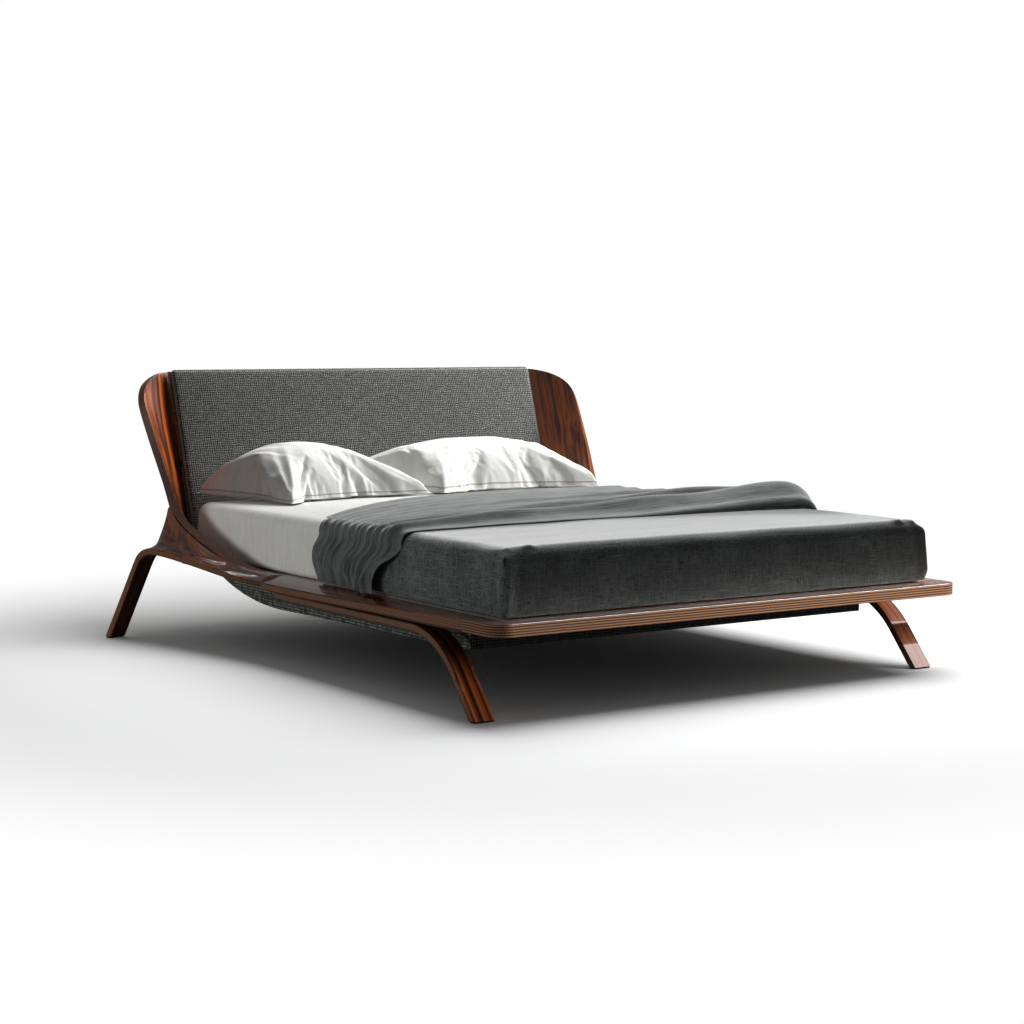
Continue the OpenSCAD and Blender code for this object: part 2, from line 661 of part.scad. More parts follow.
// ---------- rails, bolts and inserts of the front legs ----------
rail_block_ys = [front_bend_y + rail_block_end, front_bend_y + rail_l / 2, rail_end_y - rail_block_end];
bolt_reach = 20;
bolt_head_d = bolt_d * 1.8;
bolt_head_h = 6;
insert_d = bolt_d + 4;
insert_l = 26;

module rail_blocks() color(DARK_WOOD)
    both() for (y = rail_block_ys) difference() {
        block(rail_in - rail_block_w, rail_in, y - rail_block_l / 2, y + rail_block_l / 2,
              rail_bottom, deck_bottom);
        rail_bore(y, bolt_d, rail_in - rail_block_w - 1, rail_block_w + 2);
    }
module rail_bolts() color(STEEL)
    both() for (y = rail_block_ys) {
        rail_bore(y, bolt_d, box_in, rail_in + bolt_reach - box_in);
        rail_bore(y, bolt_head_d, box_in - bolt_head_h, bolt_head_h);
    }
module rail_inserts() color(STEEL)
    both() for (y = rail_block_ys) difference() {
        rail_bore(y, insert_d, rail_in, insert_l);
        rail_bore(y, bolt_d, rail_in - 1, bolt_reach + 1);
    }

// ---------- rear cross rail, beam and ledgers ----------
ledger_y = box_y + box_t;
ledger_head_gap = 87;
screw_edge = 11;
screw_end = 80;
rear_rail_h = 42;
rear_rail_t = 45;
rear_rail_y = box_rear_y + 6;
beam_y0 = box_y + box_t;
beam_gap = 3;
hanger_l = 60;
module rear_rail() color(DARK_WOOD)
    block(-deck_bar_x + 10, deck_bar_x - 10, rear_rail_y, rear_rail_y + rear_rail_t,
          deck_bottom - rear_rail_h, deck_bottom);
module centre_beam() color(BEECH)
    across(-beam_w / 2, beam_w / 2) polygon(concat(
        [[beam_y0, deck_bottom], [beam_y0, deck_bottom - beam_h]],
        [for (p = box_keel(-box_bottom_t - beam_gap)) if (p[1] > deck_bottom - beam_h) p]));
// steel saddle at the foot end of the beam
module beam_hangers() color(STEEL)
    both() block(beam_w / 2, beam_w / 2 + steel_t, beam_y0, beam_y0 + hanger_l,
                 deck_bottom - beam_h, deck_bottom);

ledger_screw_x = max(deck_bar_x, box_in - ledger_w) + screw_edge;
ledger_end_y = deck_end_y - head_board_l - ledger_head_gap;
screw_ys = [for (k = [0:5]) lerp(ledger_y + screw_end, ledger_end_y - screw_end, k / 5)];
module ledger() color(BEECH)
    difference() {
        block(box_in - ledger_w, box_in, ledger_y, ledger_end_y, deck_bottom - ledger_t, deck_bottom);
        for (y = screw_ys) translate([ledger_screw_x, y, deck_bottom - ledger_t - 1])
            cylinder(d = screw_d, h = ledger_t + 2);
        for (y = rail_block_ys) rail_bore(y, bolt_head_d + 2, box_in - ledger_w - 1, ledger_w + 2);
    }
module ledger_screws() color(STEEL)
    both() for (y = screw_ys) translate([ledger_screw_x, y, deck_bottom - ledger_t])
        screw(ledger_t + screw_grip);

// ---------- slats ----------
slat_y0 = box_y + box_t + slat_w / 2 + 24;
slat_y1 = deck_end_y - head_board_l - slat_w / 2 - 24;
slat_ys = [for (k = [0:slat_count - 1]) lerp(slat_y0, slat_y1, k / (slat_count - 1))];
slat_gap = 1.5;
cup_wall = 3;
cup_l = 34;
slat_z = deck_z - slat_t - 1;
slat_out = deck_bar_x - cup_wall;
slat_inner = cup_wall;
module slats() color(BEECH)
    for (y = slat_ys) block(slat_inner, slat_out, y - slat_w / 2, y + slat_w / 2, slat_z, slat_z + slat_t);

// a cup that holds a slat's end: open towards x1, on a foot that reaches z0
module cup(x0, x1, y, z0, close_low) {
    w = slat_w / 2 + cup_wall;
    difference() {
        block(x0, x1, y - w, y + w, z0, slat_z + slat_t + 1);
        block(close_low ? x0 + cup_wall : x0 - 1, close_low ? x1 + 1 : x1 - cup_wall,
              y - slat_w / 2, y + slat_w / 2, slat_z, slat_z + slat_t + 2);
    }
}
module side_slat_holders() color(PLASTIC)
    both() for (y = slat_ys) cup(deck_bar_x - cup_l, deck_bar_x, y, deck_bottom, false);
module centre_slat_holders() color(PLASTIC)
    both() for (y = slat_ys) cup(0, cup_l, y, deck_bottom, true);

// ---------- knee blocks ----------
// glued filler between the deck bar, the wing's back and the saddle's underside
knee_gap = 14.5;
knee_back = 8;
knee_first = 9;
knee_last = 12;
corner_cube = 0.5;
module knee_block() color(DARK_WOOD) hull()
    for (i = [knee_first, knee_last]) {
        r = i + rows_ahead;
        a = wing_back[i][3];
        c = side_back[r][sheet_cols - 3];
        e = side_back[r][sheet_cols - 2];
        corners = [[root_x + 1, a[1], deck_bottom + 2],
                   [a[0], a[1], a[2] - 2 * knee_gap],
                   [c[0], a[1], c[2] - knee_gap],
                   [e[0], a[1], e[2] - knee_gap / 2],
                   [e[0] - knee_back, a[1], e[2] - knee_gap]];
        for (p = corners) translate(p) cube(corner_cube, center = true);
    }

// ---------- mattress, covers and pillows ----------
module mattress() color(LINEN)
    block(-mattress_w / 2, mattress_w / 2, -mattress_l / 2, mattress_l / 2,
          deck_z + lift_gap, mattress_top);

// a cover over the top and the sides: inside half width w, from y0 to y1, under z1, t thick
module cover(w, y0, y1, z1, t, head_t) {
    difference() {
        block(-w - t, w + t, y0 - t, y1 + head_t, deck_z + soft_gap, z1);
        block(-w, w, y0, y1 + (head_t > 0 ? 0 : 1), deck_z - 1, z1 - t);
    }
}
module fitted_sheet() color(LINEN)
    cover(mattress_w / 2, -mattress_l / 2, mattress_l / 2, sheet_top, sheet_t, sheet_t);
module coverlet() color("#45494a")
    cover(mattress_w / 2 + sheet_t, foot_y + coverlet_t, foot_y + coverlet_l, coverlet_top,
          coverlet_t, 0);

// the throw: one layer spread askew over the bed, its folded foot edge, and a fall at each side
throw_in = soft_half_w + soft_gap;
throw_out = throw_in + throw_t;
throw_y = foot_y + coverlet_l - throw_lap;
// its ridge: shares of the ridge's length and height, and how far it stops from each side
ridge_l = 380;
ridge = [[0.08, 0.6], [0.29, 1], [0.58, 0.7]];
ridge_ends = [60, 20];
// where the left and the right fall start behind the foot edge, and where the right one ends
fall_set = [150, 20];
fall_back = 263;
// the throw's far edge lies just ahead of the right pillow
function throw_far(x) = pillow_y - pillow_l / 2 / cos(pillow_turn) - throw_t
    + (x - pillow_shift - pillow_x) * tan(pillow_turn);
module throw() color("#6c7070") {
    translate([0, 0, coverlet_top + soft_gap]) linear_extrude(throw_t) polygon([
        [-throw_out, throw_y], [throw_out, throw_y], [throw_out, throw_far(throw_out)],
        [0, throw_far(0)], [-throw_out, throw_y + throw_l]]);
    translate([0, throw_y, coverlet_top]) across(-soft_half_w + ridge_ends[0], soft_half_w - ridge_ends[1])
        polygon(concat(
            [[0, throw_t]], [for (p = ridge) [ridge_l * p[0], throw_ridge * p[1]]], [[ridge_l, throw_t]]));
    block(-throw_out, -throw_in, throw_y + fall_set[0], throw_y + throw_l,
          coverlet_top - throw_drop, coverlet_top + throw_t);
    block(throw_in, throw_out, throw_y + fall_set[1], throw_far(throw_out) - fall_back,
          coverlet_top - throw_drop, coverlet_top + throw_t);
}

// a plump pillow on the sheet, flatter below than above
pillow_shift = 38;
pillow_x = pillow_w / 2 + 12;
pillow_y = head_y - pillow_back;
function plump(u) = pow(max(0, 1 - pow(abs(u), 3)), 0.55);
module pillow_body() {
    n = 12;
    m = 10;
    function at(i, j, k) = let (u = 2 * i / n - 1, v = 2 * j / m - 1, f = plump(u) * plump(v))
        [u * pillow_w / 2, v * pillow_l / 2, pillow_h * (k > 0 ? 0.02 + 0.87 * f : -0.02 - 0.06 * f)];
    sheet([for (i = [0:n]) [for (j = [0:m]) at(n - i, j, 1)]],
          [for (i = [0:n]) [for (j = [0:m]) at(n - i, j, -1)]]);
}
module pillow(x) color(LINEN)
    translate([x, pillow_y, sheet_top + pillow_lift])
        rotate([pillow_tilt, 0, pillow_turn]) pillow_body();

placed() platform_foot();
placed() platform_infill();
placed() left() platform_side();  // platform_side_left
placed() platform_side();  // platform_side_right
placed() platform_head();
placed() left() wing();  // wing_left
placed() wing();  // wing_right
placed() back_panel();
placed() left() front_leg();  // front_leg_left
placed() front_leg();  // front_leg_right
placed() front_glides();
placed() rear_glides();
placed() left() knee_block();  // knee_block_left
placed() knee_block();  // knee_block_right
placed() left() box_side();  // box_side_left
placed() box_side();  // box_side_right
placed() box_foot();
placed() box_bottom();
placed() box_cover();
placed() rear_rail();
placed() centre_beam();
placed() left() ledger();  // ledger_left
placed() ledger();  // ledger_right
placed() left() slats();  // slats_left
placed() slats();  // slats_right
placed() side_slat_holders();
placed() centre_slat_holders();
placed() rail_blocks();
placed() rail_bolts();
placed() rail_inserts();
placed() ledger_screws();
placed() corner_blocks();
placed() beam_hangers();
placed() back_brackets();
placed() bracket_screws();
placed() panel_cleats();
placed() pad_cleats();
placed() pad_board();
placed() pad_cushion();
placed() pad_piping();
placed() pad_side_clips();
placed() mattress();
placed() fitted_sheet();
placed() coverlet();
placed() throw();
placed() pillow(pillow_shift - pillow_x);  // pillow_left
placed() pillow(pillow_shift + pillow_x);  // pillow_right
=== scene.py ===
# %% [markdown]
# # A sleigh bed in moulded plywood, dressed for the shop window
#
# The bed is one low platform of moulded plywood. Its sides sweep up at the head into two
# wings and down into the rear legs, and an upholstered pad hangs between the wings.
# The construction model already holds every rigid part at its true size. This lesson keeps
# those shapes, rounds their edges, and gives each piece the finish it would leave the
# workshop with. Everything soft is then made new: the pad, the mattress and its linen,
# the throw and the pillows.

# %% Load the construction model
import json
import math
import bpy
import numpy as np
from mathutils import Matrix, Vector, noise

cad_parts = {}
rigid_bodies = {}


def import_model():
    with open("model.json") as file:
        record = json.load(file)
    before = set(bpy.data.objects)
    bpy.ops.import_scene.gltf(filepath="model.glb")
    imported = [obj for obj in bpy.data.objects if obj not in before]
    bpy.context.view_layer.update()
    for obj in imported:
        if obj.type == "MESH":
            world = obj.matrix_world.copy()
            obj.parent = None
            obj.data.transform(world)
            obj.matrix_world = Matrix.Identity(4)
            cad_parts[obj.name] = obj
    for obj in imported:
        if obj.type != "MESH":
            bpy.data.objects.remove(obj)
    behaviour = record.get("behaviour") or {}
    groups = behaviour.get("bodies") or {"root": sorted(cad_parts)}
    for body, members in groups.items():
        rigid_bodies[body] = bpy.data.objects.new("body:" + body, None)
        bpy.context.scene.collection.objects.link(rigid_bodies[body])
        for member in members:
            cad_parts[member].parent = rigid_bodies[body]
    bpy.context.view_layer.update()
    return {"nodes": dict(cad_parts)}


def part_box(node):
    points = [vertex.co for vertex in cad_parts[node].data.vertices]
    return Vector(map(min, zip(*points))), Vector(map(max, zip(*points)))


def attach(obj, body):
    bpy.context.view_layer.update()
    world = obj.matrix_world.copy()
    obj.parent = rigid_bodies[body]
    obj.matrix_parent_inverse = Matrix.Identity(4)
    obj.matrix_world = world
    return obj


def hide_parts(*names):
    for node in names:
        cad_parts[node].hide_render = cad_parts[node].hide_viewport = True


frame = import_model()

MM = 0.001

# %% [markdown]
# ## Helpers
#
# Blender's shaders work in linear light, while a paint chip or a fabric card is given as a
# hex value. One function turns the one into the other. A second one adds a shader node
# with its settings and links, so that each finish further down reads as a short list.

# %% Colour and shader helpers
def linear(hex_colour):
    """Linear RGBA of an sRGB hex colour such as "6b3a1f"."""
    parts = [int(hex_colour[k:k + 2], 16) / 255 for k in (0, 2, 4)]
    return [c / 12.92 if c <= 0.04045 else ((c + 0.055) / 1.055) ** 2.4 for c in parts] + [1.0]


def add(tree, kind, settings=None, **inputs):
    """Adds a node; an input is a value or another node's output, and _0 is the first socket."""
    made = tree.nodes.new(kind)
    for name, value in (settings or {}).items():
        setattr(made, name, value)
    for name, value in inputs.items():
        key = int(name[1:]) if name[0] == "_" else name.replace("_", " ")
        if isinstance(value, bpy.types.NodeSocket):
            tree.links.new(value, made.inputs[key])
        else:
            made.inputs[key].default_value = value
    return made


def ramp(tree, fac, *stops):
    """A colour ramp through (place, hex colour) stops."""
    made = add(tree, "ShaderNodeValToRGB", Fac=fac)
    points = made.color_ramp.elements
    while len(points) < len(stops):
        points.new(0.5)
    for point, (place, colour) in zip(points, stops):
        point.position = place
        point.color = linear(colour)
    return made.outputs["Color"]


def math_node(tree, operation, *values, clamp=False):
    inputs = {f"_{k}": v for k, v in enumerate(values)}
    settings = {"operation": operation, "use_clamp": clamp}
    return add(tree, "ShaderNodeMath", settings, **inputs).outputs[0]


def mix(tree, fac, a, b, blend="MIX"):
    """Mixes two colours: socket 6 is the first colour, 7 the second."""
    settings = {"data_type": "RGBA", "blend_type": blend}
    return add(tree, "ShaderNodeMix", settings, _0=fac, _6=a, _7=b).outputs[2]


def new_material(name):
    made = bpy.data.materials.new(name)
    made.use_nodes = True
    made.node_tree.nodes.clear()
    return made, made.node_tree


def finish_surface(tree, bump=None, bump_mm=0.3, **sockets):
    """Principled surface, with a height in millimetres if one is given."""
    surface = add(tree, "ShaderNodeBsdfPrincipled", **sockets)
    if bump is not None:
        made = add(tree, "ShaderNodeBump", Strength=1.0, Distance=bump_mm * MM, Height=bump)
        tree.links.new(made.outputs[0], surface.inputs["Normal"])
    add(tree, "ShaderNodeOutputMaterial", Surface=surface.outputs[0])


def attribute(tree, name, output="Vector"):
    return add(tree, "ShaderNodeAttribute", {"attribute_name": name}).outputs[output]


def object_point(tree):
    return add(tree, "ShaderNodeTexCoord").outputs["Object"]


def stretched(tree, vector, scale):
    return add(tree, "ShaderNodeMapping", Vector=vector, Scale=scale).outputs[0]


def noise_value(tree, vector, scale, detail=3.0, rough=0.5, distortion=0.0):
    made = add(tree, "ShaderNodeTexNoise", Vector=vector, Scale=scale, Detail=detail,
               Roughness=rough, Distortion=distortion)
    return made.outputs["Fac"]


print("helpers ready")

# %% [markdown]
# ## Lacquered walnut veneer on moulded plywood
#
# A shell like this is pressed from many thin beech plies between two face veneers, in a
# heated mould, then edged, sanded and sprayed with a clear lacquer. The face shows brown
# walnut figure: dark lines that run with the sheet, about 8 to 15 mm apart, broken into
# short pores. The edge shows the plies as stripes. The real plies are about 1.5 mm; they
# are drawn about three times that, or they would blur into one brown at this distance.
# The lacquer is a clear coat, which gives the crisp white line along every rounded edge.
#
# Two attributes on each wooden piece tell the finish where it is. "grain" is a point whose
# third part runs along the sheet, and "ply" goes from 0 on one face to 1 on the other.

# %% Walnut veneer
def walnut(name, dark, middle, light, edges, coat=0.9, plies=5):
    made, tree = new_material(name)
    grain = attribute(tree, "grain")
    warp = noise_value(tree, stretched(tree, grain, (4, 4, 0.2)), 1.0, 2.0)
    warped = add(tree, "ShaderNodeVectorMath", {"operation": "ADD"},
                 _0=stretched(tree, grain, (62, 62, 0.5)),
                 _1=add(tree, "ShaderNodeVectorMath", {"operation": "SCALE"}, _0=(1, 1, 0),
                        Scale=math_node(tree, "MULTIPLY", warp, 4.0)).outputs[0]).outputs[0]
    figure = noise_value(tree, warped, 1.0, 3.0, 0.55, 0.1)
    pores = noise_value(tree, stretched(tree, grain, (420, 420, 14)), 1.0, 3.0, 0.6)
    clouds = noise_value(tree, stretched(tree, grain, (3, 3, 0.6)), 1.0, 2.0)
    face = ramp(tree, figure, (0.34, dark), (0.47, middle), (0.6, light))
    face = mix(tree, math_node(tree, "MULTIPLY", clouds, 0.45), face, linear(dark))
    lines = ramp(tree, pores, (0.3, "b8b0a8"), (0.48, "ffffff"))
    face = mix(tree, 0.55, face, lines, "MULTIPLY")
    ply = attribute(tree, "ply", "Fac")
    stripe = math_node(tree, "PINGPONG", math_node(tree, "MULTIPLY", ply, 2.0 * plies), 1.0)
    edge = ramp(tree, stripe, *zip((0.25, 0.55, 0.8), edges))
    edge = mix(tree, 0.5, edge, lines, "MULTIPLY")
    inside = math_node(tree, "MINIMUM", ply, math_node(tree, "SUBTRACT", 1.0, ply))
    on_edge = add(tree, "ShaderNodeMapRange", Value=inside, _1=0.005, _2=0.05).outputs[0]
    rough = add(tree, "ShaderNodeMapRange", Value=pores, _1=0.3, _2=0.7, _3=0.42, _4=0.3)
    finish_surface(tree, pores, 0.08, Base_Color=mix(tree, on_edge, face, edge),
                   Roughness=rough.outputs[0], IOR=1.5, Coat_Weight=coat, Coat_Roughness=0.05, Coat_IOR=1.6)
    return made


VENEER = walnut("lacquered walnut veneer", "2a0d04", "642808", "9c4e18",
                ("220e07", "54280f", "70401f"))
DECK_VENEER = walnut("satin walnut veneer of the platform", "1e0b04", "5c2a0e", "8a4820",
                     ("321a0c", "74482c", "9c7350"))
print("veneers:", VENEER.name, "and", DECK_VENEER.name)

# %% [markdown]
# ## Cloths
#
# Four cloths dress the bed. All are woven, and what makes them differ is the yarn. Tweed has thick two-tone
# yarn and a coarse grid: two sets of threads that cross, each a band pattern that wobbles a little because
# yarn is never quite even. The coverlet is a slubbed cotton: long pale slubs lie along both directions on a
# charcoal ground. The throw is soft wool, so its threads hide under a nap, which is sheen.
# The linen is so fine that only a slight mottle is left at this distance.

# %% Woven cloth
def threads(tree, vector, axis, pitch_mm, wobble):
    """Height of one set of threads, 0 to 1, across one axis of the cloth."""
    settings = {"wave_type": "BANDS", "bands_direction": axis, "wave_profile": "SIN"}
    return add(tree, "ShaderNodeTexWave", settings, Vector=vector, Scale=0.314 / (pitch_mm * MM),
               Distortion=wobble, Detail=2.0, Detail_Scale=1.3).outputs["Fac"]


def slubs(tree, vector, long_axis, thick_mm, long_mm, low, high):
    """Thick places in the yarn: noise drawn out along one axis, cut at a threshold."""
    scale = [1 / (thick_mm * MM)] * 3
    scale[long_axis] = 1 / (long_mm * MM)
    value = noise_value(tree, stretched(tree, vector, scale), 1.0, 2.0, 0.55)
    return add(tree, "ShaderNodeMapRange", Value=value, _1=low, _2=high).outputs[0]


def tweed(name, dark, middle, light, pitch_mm):
    """Basket weave in two-tone yarn. The real grid is 4 mm and is drawn a little coarser."""
    made, tree = new_material(name)
    point = object_point(tree)
    weft = threads(tree, point, "Z", pitch_mm, 4.0)
    warp = threads(tree, point, "X", pitch_mm, 4.0)
    cross = math_node(tree, "MULTIPLY", weft, warp)
    flecks = noise_value(tree, point, 160.0, 3.0, 0.7)
    streaks = math_node(tree, "ADD", slubs(tree, point, 2, 7, 70, 0.36, 0.68),
                        slubs(tree, point, 0, 5, 26, 0.36, 0.68))
    shade = math_node(tree, "ADD", math_node(tree, "MULTIPLY", cross, 0.55),
                      math_node(tree, "MULTIPLY", flecks, 0.28))
    shade = math_node(tree, "ADD", shade, math_node(tree, "MULTIPLY", streaks, 0.1))
    colour = ramp(tree, shade, (0.22, dark), (0.5, middle), (0.85, light))
    finish_surface(tree, shade, 0.9, Base_Color=colour, Roughness=0.92, Sheen_Weight=0.25,
                   Sheen_Roughness=0.5)
    return made


def slub_cotton(name, ground, pale, seam_x, seam_y, seam_top):
    """Charcoal cotton whose pale slubs lie along the warp and the weft. At the upright seam of each front
    corner a near-black line is painted shade, the shade in the seam's crease."""
    made, tree = new_material(name)
    point = object_point(tree)
    along_x = slubs(tree, point, 0, 4.5, 55, 0.44, 0.7)
    along_y = slubs(tree, point, 1, 4.5, 55, 0.44, 0.7)
    along_z = slubs(tree, point, 2, 4.5, 55, 0.44, 0.7)
    streaks = math_node(tree, "MAXIMUM", along_x, math_node(tree, "MAXIMUM", along_y, along_z))
    fine = noise_value(tree, point, 420.0, 2.0, 0.6)
    clouds = noise_value(tree, point, 7.0, 2.0)
    shade = math_node(tree, "MULTIPLY", math_node(tree, "ADD", streaks, fine), 0.5)
    shade = math_node(tree, "MULTIPLY", shade, math_node(tree, "ADD", clouds, 0.55))
    colour = ramp(tree, shade, (0.12, ground), (0.8, pale))
    x, y, z = add(tree, "ShaderNodeSeparateXYZ", Vector=point).outputs
    # painted shade: a near-black line 4.5 mm wide along each front corner seam, below the top edge, stands
    # for the shade in the seam's crease
    off_x = math_node(tree, "SUBTRACT", math_node(tree, "ABSOLUTE", x), seam_x)
    off_y = math_node(tree, "SUBTRACT", y, seam_y)
    away = math_node(tree, "ADD", math_node(tree, "MULTIPLY", off_x, off_x),
                     math_node(tree, "MULTIPLY", off_y, off_y))
    near = math_node(tree, "LESS_THAN", math_node(tree, "SQRT", away), 0.0045)
    seam = math_node(tree, "MULTIPLY", near, math_node(tree, "LESS_THAN", z, seam_top))
    colour = mix(tree, math_node(tree, "MULTIPLY", seam, 0.85), colour, linear("040404"))
    finish_surface(tree, shade, 0.5, Base_Color=colour, Roughness=0.8, Sheen_Weight=0.9,
                   Sheen_Roughness=0.3)
    return made


def soft_wool(name, dark, light):
    """Mid grey wool: yarn that runs along the folds, under a short nap. "lay" is a point on
    the flat cloth whose second part runs with the yarn."""
    made, tree = new_material(name)
    point = object_point(tree)
    yarn = slubs(tree, attribute(tree, "lay"), 1, 5, 160, 0.3, 0.7)
    nap = noise_value(tree, point, 260.0, 3.0, 0.65)
    clouds = noise_value(tree, point, 11.0, 3.0)
    shade = math_node(tree, "ADD", math_node(tree, "MULTIPLY", yarn, 0.4),
                      math_node(tree, "MULTIPLY", nap, 0.5))
    shade = math_node(tree, "MULTIPLY", shade, math_node(tree, "ADD", clouds, 0.6))
    colour = ramp(tree, shade, (0.2, dark), (0.75, light))
    finish_surface(tree, shade, 0.5, Base_Color=colour, Roughness=0.9, Sheen_Weight=0.5,
                   Sheen_Roughness=0.4)
    return made


def washed_linen(name, low, high):
    """White linen, washed soft: threads 0.6 mm apart leave only a slight mottle. "hem" is the distance from
    the sewn edge in millimetres; a seam runs 20 mm inside it. The seam is a groove in the bump, and the
    grey along it in the colour is painted shade."""
    made, tree = new_material(name)
    point = object_point(tree)
    weave = noise_value(tree, point, 700.0, 2.0, 0.6)
    crush = noise_value(tree, stretched(tree, point, (44, 44, 9)), 1.0, 3.0, 0.55, 0.4)
    shade = math_node(tree, "ADD", math_node(tree, "MULTIPLY", weave, 0.5),
                      math_node(tree, "MULTIPLY", crush, 0.5))
    off_seam = math_node(tree, "SUBTRACT", attribute(tree, "hem", "Fac"), 20.0)
    seam = add(tree, "ShaderNodeMapRange", Value=math_node(tree, "ABSOLUTE", off_seam),
               _1=0.8, _2=2.6, _3=1.0, _4=0.0).outputs[0]
    cloth = ramp(tree, shade, (0.3, low), (0.6, high))
    # painted shade: along the seam the white is mixed 55 % towards grey, for the shade in its groove
    finish_surface(tree, math_node(tree, "SUBTRACT", shade, math_node(tree, "MULTIPLY", seam, 3.0)),
                   0.45, Base_Color=mix(tree, math_node(tree, "MULTIPLY", seam, 0.55), cloth,
                                        linear("6f6e69")),
                   Roughness=0.85, Sheen_Weight=0.15, Sheen_Roughness=0.4)
    return made


TWEED = tweed("two-tone wool tweed", "20211f", "60615d", "b4b5ae", 8.0)
BOX_TWEED = tweed("dark wool tweed of the box", "262725", "5c5e5a", "9a9c95", 9.0)
WOOL = soft_wool("brushed grey wool", "232625", "757b78")
LINEN = washed_linen("washed white linen", "cfcfca", "e4e4df")
PIPING = soft_wool("grey piping cord", "4e504d", "7e807b")
print("cloths: tweed, coverlet, wool, linen, piping")

# %% [markdown]
# ## The plainer finishes
#
# Underneath, the bed is ordinary joinery: planed beech for slats and battens, stained
# hardwood for the box, zinc-plated steel for screws and brackets, moulded black plastic
# for slat cups and glides. They are seen from below and when a part lifts off.

# %% Joinery and hardware finishes
def planed_wood(name, dark, light, long_axis=1):
    made, tree = new_material(name)
    point = object_point(tree)
    figure = slubs(tree, point, long_axis, 9, 260, 0.3, 0.7)
    pores = slubs(tree, point, long_axis, 1.6, 30, 0.45, 0.7)
    shade = math_node(tree, "SUBTRACT", figure, math_node(tree, "MULTIPLY", pores, 0.35))
    finish_surface(tree, shade, 0.08, Base_Color=ramp(tree, shade, (0.0, dark), (0.9, light)),
                   Roughness=0.55, IOR=1.5)
    return made


def plated_steel(name, colour):
    made, tree = new_material(name)
    spangle = noise_value(tree, object_point(tree), 220.0, 3.0)
    rough = add(tree, "ShaderNodeMapRange", Value=spangle, _3=0.24, _4=0.42).outputs[0]
    finish_surface(tree, spangle, 0.05, Base_Color=linear(colour), Metallic=1.0, Roughness=rough)
    return made


def moulded_plastic(name, colour, roughness):
    made, tree = new_material(name)
    grain = noise_value(tree, object_point(tree), 900.0, 2.0)
    tone = mix(tree, grain, linear(colour), linear("2b2b2b"))
    finish_surface(tree, grain, 0.06, Base_Color=tone, Roughness=roughness, IOR=1.48)
    return made


BEECH = planed_wood("planed beech", "a98257", "d8b88c")
STAINED = planed_wood("dark stained hardwood", "1e120c", "4a2d1e")
STEEL = plated_steel("zinc-plated steel", "b4b8bb")
PLASTIC = moulded_plastic("moulded black nylon", "141414", 0.5)
RUBBER = moulded_plastic("black rubber glide", "0e0e0e", 0.75)
print("joinery finishes ready")

# %% [markdown]
# ## Working with meshes
#
# Each shaping step below is short: start from a primitive or a copy of a construction
# part, select faces or edges by where they lie, and run an ordinary edit-mode operator.
# An operator acts on everything selected, so every step first deselects all.

# %% Mesh helpers
def only(obj):
    """Makes obj the one selected and active object."""
    bpy.ops.object.select_all(action="DESELECT")
    obj.select_set(True)
    bpy.context.view_layer.objects.active = obj


def points_of(obj):
    co = np.empty(len(obj.data.vertices) * 3)
    obj.data.vertices.foreach_get("co", co)
    return co.reshape(-1, 3)


def set_points(obj, co):
    obj.data.vertices.foreach_set("co", np.ascontiguousarray(co, float).ravel())
    obj.data.update()


def edit(obj, *steps, select="SELECT", kind="FACE"):
    """Runs edit-mode steps on obj with all, or none, selected first."""
    only(obj)
    bpy.ops.object.mode_set(mode="EDIT")
    bpy.ops.mesh.select_mode(type=kind)
    bpy.ops.mesh.select_all(action=select)
    for step in steps:
        step()
    bpy.ops.object.mode_set(mode="OBJECT")


def select_faces(obj, keep):
    """Selects the faces for which keep(centre, normal) is true."""
    only(obj)
    bpy.ops.object.mode_set(mode="EDIT")
    bpy.ops.mesh.select_mode(type="FACE")
    bpy.ops.mesh.select_all(action="DESELECT")
    bpy.ops.object.mode_set(mode="OBJECT")
    for face in obj.data.polygons:
        face.select = keep(face.center, face.normal)


def apply_modifier(obj, kind, **settings):
    only(obj)
    made = obj.modifiers.new(kind.title(), kind)
    for name, value in settings.items():
        setattr(made, name, value)
    bpy.ops.object.modifier_apply(modifier=made.name)


def smooth_shade(obj, angle=40):
    only(obj)
    bpy.ops.object.shade_smooth_by_angle(angle=math.radians(angle))


def dress(obj, material, body, *nodes, slot=None):
    """Gives a finished piece its material, the body it rides on and the nodes it stands for."""
    obj.data.materials.clear()
    obj.data.materials.append(material)
    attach(obj, body)
    if nodes:
        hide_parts(*nodes)
    return obj


def mesh_object(name, co, faces):
    data = bpy.data.meshes.new(name)
    data.from_pydata([tuple(p) for p in co], [], faces)
    made = bpy.data.objects.new(name, data)
    bpy.context.scene.collection.objects.link(made)
    return made


def ease(a, b, x):
    """0 below a, 1 above b, smooth between; works on numbers and arrays."""
    u = np.clip((x - a) / (b - a), 0, 1)
    return u * u * (3 - 2 * u)


def ripple(co, scale, seed):
    """Smooth noise from -1 to 1 at each point, repeatable."""
    shift = Vector((seed * 7.3, seed * 3.1, seed * 5.7))
    return np.array([noise.noise(Vector(p) * scale + shift) for p in co])


print("mesh helpers ready")

# %% [markdown]
# ## Where things are
#
# All places come from the construction model: the mattress gives the centre line of the
# bedding, and the pad's box gives the rake of the headboard.

# %% Places from the frame
mattress_low, mattress_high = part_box("mattress")
cover_low, cover_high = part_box("coverlet")
throw_low, throw_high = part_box("throw")
pad_low, pad_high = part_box("pad_cushion")
bed_y = (mattress_low.y + mattress_high.y) / 2
deck_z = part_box("platform_foot")[1].z
RAKE = math.radians(17.2)


def bed(x, y, z):
    """A point in metres from millimetres measured from the middle of the mattress."""
    return np.array([x * MM, y * MM + bed_y, z * MM])


print("mattress centre y", round(bed_y, 4), "deck at", round(deck_z, 3))
